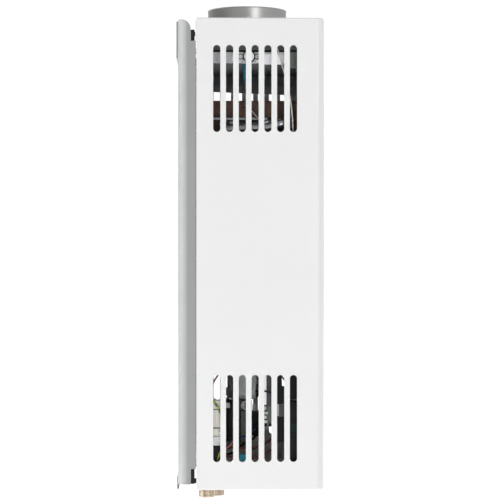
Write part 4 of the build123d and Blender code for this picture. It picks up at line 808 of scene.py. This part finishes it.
# --------------------------------------------- straps beside the air trough --
block("loom_bracket", -158.0, -157.0, 114.4, 123.6, 106.0, 153.0, M["steel_pipe"], bevel=0.2)
block("loom_bracket_foot", -158.0, -157.0, 117.4, 123.6, 84.0, 106.4, M["casting"], bevel=0.2)
block("loom_comb_plate", -158.2, -157.2, 114.4, 117.8, 80.0, 106.4, M["black"], bevel=0.2)
block("loom_bracket_arm", -163.0, -157.0, 114.4, 158.0, 150.2, 153.2, M["trough"], bevel=0.3)
block("loom_comb_strip", -172.0, -157.4, 114.1, 116.9, 109.6, 152.0, M["cap_bright"], bevel=0.3)
prism("loom_comb_bar", [(113.9, 128.8), (113.9, 126.2), (123.4, 123.8), (123.4, 126.4)], P(-171.6, 0, 0), (-1, 0, 0), 1.3, M["black"], bevel=0.3)
# painted highlight: a pale alloy block on the solenoid's dome top stands for the glint on the black dome
block("solenoid_dome_highlight", -124.4, -122.0, 64.6, 70.0, 101.2, 108.2, M["casting_light"], bevel=0.4)
block("transformer_tab", -163.4, -161.9, 131.4, 143.4, 93.4, 110.0, M["steel_pipe"], bevel=0.3)
block("transformer_tab_edge", -163.8, -162.0, 131.2, 133.4, 94.2, 109.6, M["casting_light"], bevel=0.4)
block("transformer_tab_front", -163.4, -161.9, 147.4, 151.6, 93.4, 111.0, M["steel_pipe"], bevel=0.3)
for k, (za, zb, db) in enumerate(((84.8, 88.4, 118.6), (90.4, 94.4, 117.6), (96.2, 99.4, 119.2), (101.6, 106.4, 117.2))):
    block("loom_comb_tooth_%d" % (k + 1), -162.4, -158.0, 114.6, db, za, zb, M["w_white"], bevel=0.45)
block("coil_connector", -91.6, -86.9, 100.6, 104.8, 94.6, 102.8, M["w_white"], bevel=0.4)
block("coil_connector_key", -92.6, -91.4, 101.4, 104.0, 97.0, 100.4, M["w_white"], bevel=0.3)
block("trough_clip", -99.3, -98.0, 104.3, 108.4, 119.0, 122.6, M["black"], bevel=0.3)
block("trough_clip_small", -99.0, -98.0, 106.6, 108.6, 128.2, 130.8, M["black"], bevel=0.3)
prism("transformer_bracket", [(131.0, 60), (145.9, 60), (145.9, 116.4), (160, 116.4), (160, 150), (146.4, 150), (146.4, 133), (137.6, 133), (136.9, 150), (131.0, 150)], P(-162.0, 0, 0), (-1, 0, 0), 1.0, M["black"], bevel=0.2)
block("transformer_bracket_return", -162.9, -152.0, 134.6, 135.6, 60.0, 76.0, M["black"], bevel=0.2)
block("transformer_board", -167.5, -166.5, 147.0, 159.0, 74.6, 84.0, M["dark_board"], bevel=0.1)
for k in range(4):
    block("transformer_rib_%d" % (k + 1), -167.2, -166.5, 150.0 + 8 * k, 151.4 + 8 * k, 86.5, 113.5, M["black"], bevel=0.25)

prism("valve_side_gasket", [(84.0, 51.2), (91.6, 51.2), (91.6, 94.8), (84.0, 94.8)], P(-86.95, 0, 0), (-1, 0, 0), 0.5, M["rubber"], bevel=0.1)
prism("valve_side_plate", [(84.8, 52.0), (90.8, 52.0), (90.8, 94.0), (84.8, 94.0)], P(-87.4, 0, 0), (-1, 0, 0), 1.0, M["casting"], bevel=0.3)
block("hood_lip_front", -167.7, -166.9, 113.8, 139.4, 550.4, 563.8, M["cap_bright"], bevel=0.15)
block("hood_lip_front_flange", -167.4, -161.9, 113.8, 139.4, 563.0, 563.8, M["lip"], bevel=0.1)
# painted shade: dark grey bars at the top of the near slots and at the skirt's front end stand for the shaded inside of
# the cover and the shaded lip
block("top_stay_bar_painted_shade", -162.9, -162.1, 46.0, 158.0, 570.2, 582.8, M["casting"], bevel=0.15)
block("hood_lip_end_painted_shade", -162.9, -162.1, 146.6, 158.0, 546.0, 567.0, M["casting"], bevel=0.15)

# ------------------------------------------------------------- front panel --


def seg(name, x, z, w, h):
    """One lit bar with pointed ends, on the lens face."""
    if w > h:
        pts = [(x - w / 2, z), (x - w / 2 + h / 2, z - h / 2), (x + w / 2 - h / 2, z - h / 2), (x + w / 2, z), (x + w / 2 - h / 2, z + h / 2), (x - w / 2 + h / 2, z + h / 2)]
    else:
        pts = [(x, z - h / 2), (x + w / 2, z - h / 2 + w / 2), (x + w / 2, z + h / 2 - w / 2), (x, z + h / 2), (x - w / 2, z + h / 2 - w / 2), (x - w / 2, z - h / 2 + w / 2)]
    return prism(name, pts, P(0, 193.08, 0), (0, -1, 0), 0.14, M["led"])


DIGITS = {"4": "fgbc", "2": "abged"}
GEO = {"a": (0, 8, 7.4, 1.7), "g": (0, 0, 7.4, 1.7), "d": (0, -8, 7.4, 1.7), "f": (-4.2, 4, 1.7, 7.2), "b": (4.2, 4, 1.7, 7.2), "e": (-4.2, -4, 1.7, 7.2), "c": (4.2, -4, 1.7, 7.2)}
for i_, (ch, cx_) in enumerate((("4", -7.5), ("2", 7.5))):
    for s_ in DIGITS[ch]:
        gx, gz, gw, gh = GEO[s_]
        seg("digit_%d_bar_%s" % (i_ + 1, s_), cx_ + gx, 122.0 + gz, gw, gh)
lathe("degree_ring", P(17.0, 193.06, 129.4), (0, -1, 0), [(1.05, 0), (1.75, 0), (1.75, 0.14), (1.05, 0.14), (1.05, 0)], M["led"], n=28)
for k in range(4):
    seg("level_bar_%d" % (k + 1), -26.5, 114.5 + 4.2 * k, 3.0 + 1.1 * k, 1.4)
prism("flame_mark", [(26.5 + x, 121.5 + z) for x, z in ((0, -4.2), (2.2, -3.2), (2.9, -1.0), (1.9, 1.2), (1.2, 0.1), (0.6, 3.9), (-1.3, 1.9), (-2.7, -0.9), (-2.1, -3.2))],
      P(0, 193.08, 0), (0, -1, 0), 0.14, M["led"])


def button(name, x, z, node, body):
    prof = [(0, 186.8), (7.8, 186.8), (8.0, 187.0), (8.0, 187.8), (7.8, 188.0), (6.62, 188.0), (6.5, 188.4), (6.5, 193.5), (6.36, 193.95), (6.0, 194.18), (5.6, 194.16), (4.6, 193.92), (2.6, 193.72), (0, 193.66)]
    return lathe(name, P(x, 0, z), (0, -1, 0), prof, M["silver_button"], body=body, n=72, replaces=node, angle=40)


button("power_cap", -57, 121, "power_button", "power_button_body")
button("plus_cap", 57, 132, "plus_button", "plus_button_body")
button("minus_cap", 57, 110, "minus_button", "minus_button_body")


def stroke(name, pts, body):
    return prism(name, pts, P(0, 193.6, 0), (0, -1, 0), 0.35, M["mark"], body=body)


c_ = 0.42
stroke("plus_mark", [(57 + x, 132 + z) for x, z in ((-c_, -2.4), (c_, -2.4), (c_, -c_), (2.4, -c_), (2.4, c_), (c_, c_), (c_, 2.4), (-c_, 2.4), (-c_, c_), (-2.4, c_), (-2.4, -c_), (-c_, -c_))], "plus_button_body")
stroke("minus_mark", [(57 - 2.4, 110 - c_), (57 + 2.4, 110 - c_), (57 + 2.4, 110 + c_), (57 - 2.4, 110 + c_)], "minus_button_body")
outer = [(2.5 * math.sin(math.radians(t)), 2.5 * math.cos(math.radians(t))) for t in range(38, 323, 15)]
inner = [(1.8 * math.sin(math.radians(t)), 1.8 * math.cos(math.radians(t))) for t in range(38, 323, 15)]
stroke("power_mark_ring", [(-57 + x, 121 + z) for x, z in outer + inner[::-1]], "power_button_body")
stroke("power_mark_bar", [(-57 - 0.36, 121.4), (-57 + 0.36, 121.4), (-57 + 0.36, 124.1), (-57 - 0.36, 124.1)], "power_button_body")


def outline_bead(name, x0, x1, z0, z1, r, d, rad, mat, m=10):
    """A thin bead round a rounded rectangle on the front."""
    pts = [(x + (x0 + x1) / 2, z + (z0 + z1) / 2) for x, z in rounded(x1 - x0, z1 - z0, r, 8)]
    n = len(pts)
    verts, faces = [], []
    for i in range(n):
        t = (Vector(pts[(i + 1) % n]) - Vector(pts[i - 1])).normalized()
        for k in range(m):
            q = 2 * math.pi * k / m
            verts.append(P(pts[i][0] + t.y * rad * math.cos(q), d + rad * math.sin(q), pts[i][1] - t.x * rad * math.cos(q)))
    for i in range(n):
        for k in range(m):
            j, l = (i + 1) % n, (k + 1) % m
            faces.append([i * m + k, j * m + k, j * m + l, i * m + l])
    return mesh_obj(name, verts, faces, mat, smooth=True, angle=60)


outline_bead("panel_trim", -82.6, 82.6, 91.4, 150.6, 6.0, 192.9, 0.5, M["zinc"])
outline_bead("lens_trim", -36.6, 36.6, 106.4, 137.6, 3.4, 192.95, 0.35, M["zinc"])
for k, (x_, z_) in enumerate(((-57, 121), (57, 132), (57, 110))):
    lathe("button_ring_%d" % (k + 1), P(x_, 0, z_), (0, -1, 0), [(7.15, 192.75), (7.15, 193.1), (7.4, 193.3), (8.0, 193.3), (8.25, 193.1), (8.25, 192.75), (7.15, 192.75)], M["zinc"], n=64)
lathe("status_lamp", P(-57, 192.8, 104.5), (0, -1, 0), [(0, 0.75), (0.9, 0.6), (1.25, 0.3), (1.3, 0)], M["led"], n=28)
for k, x_ in enumerate((-22.6, 22.6)):
    lathe("window_screw_%d" % (k + 1), P(x_, 193.1, 300), (0, -1, 0), [(0, 0.2), (0.5, 0.1), (0.6, 0.45), (1.3, 0.42), (1.7, 0.15), (1.75, 0)], M["zinc"], n=28)
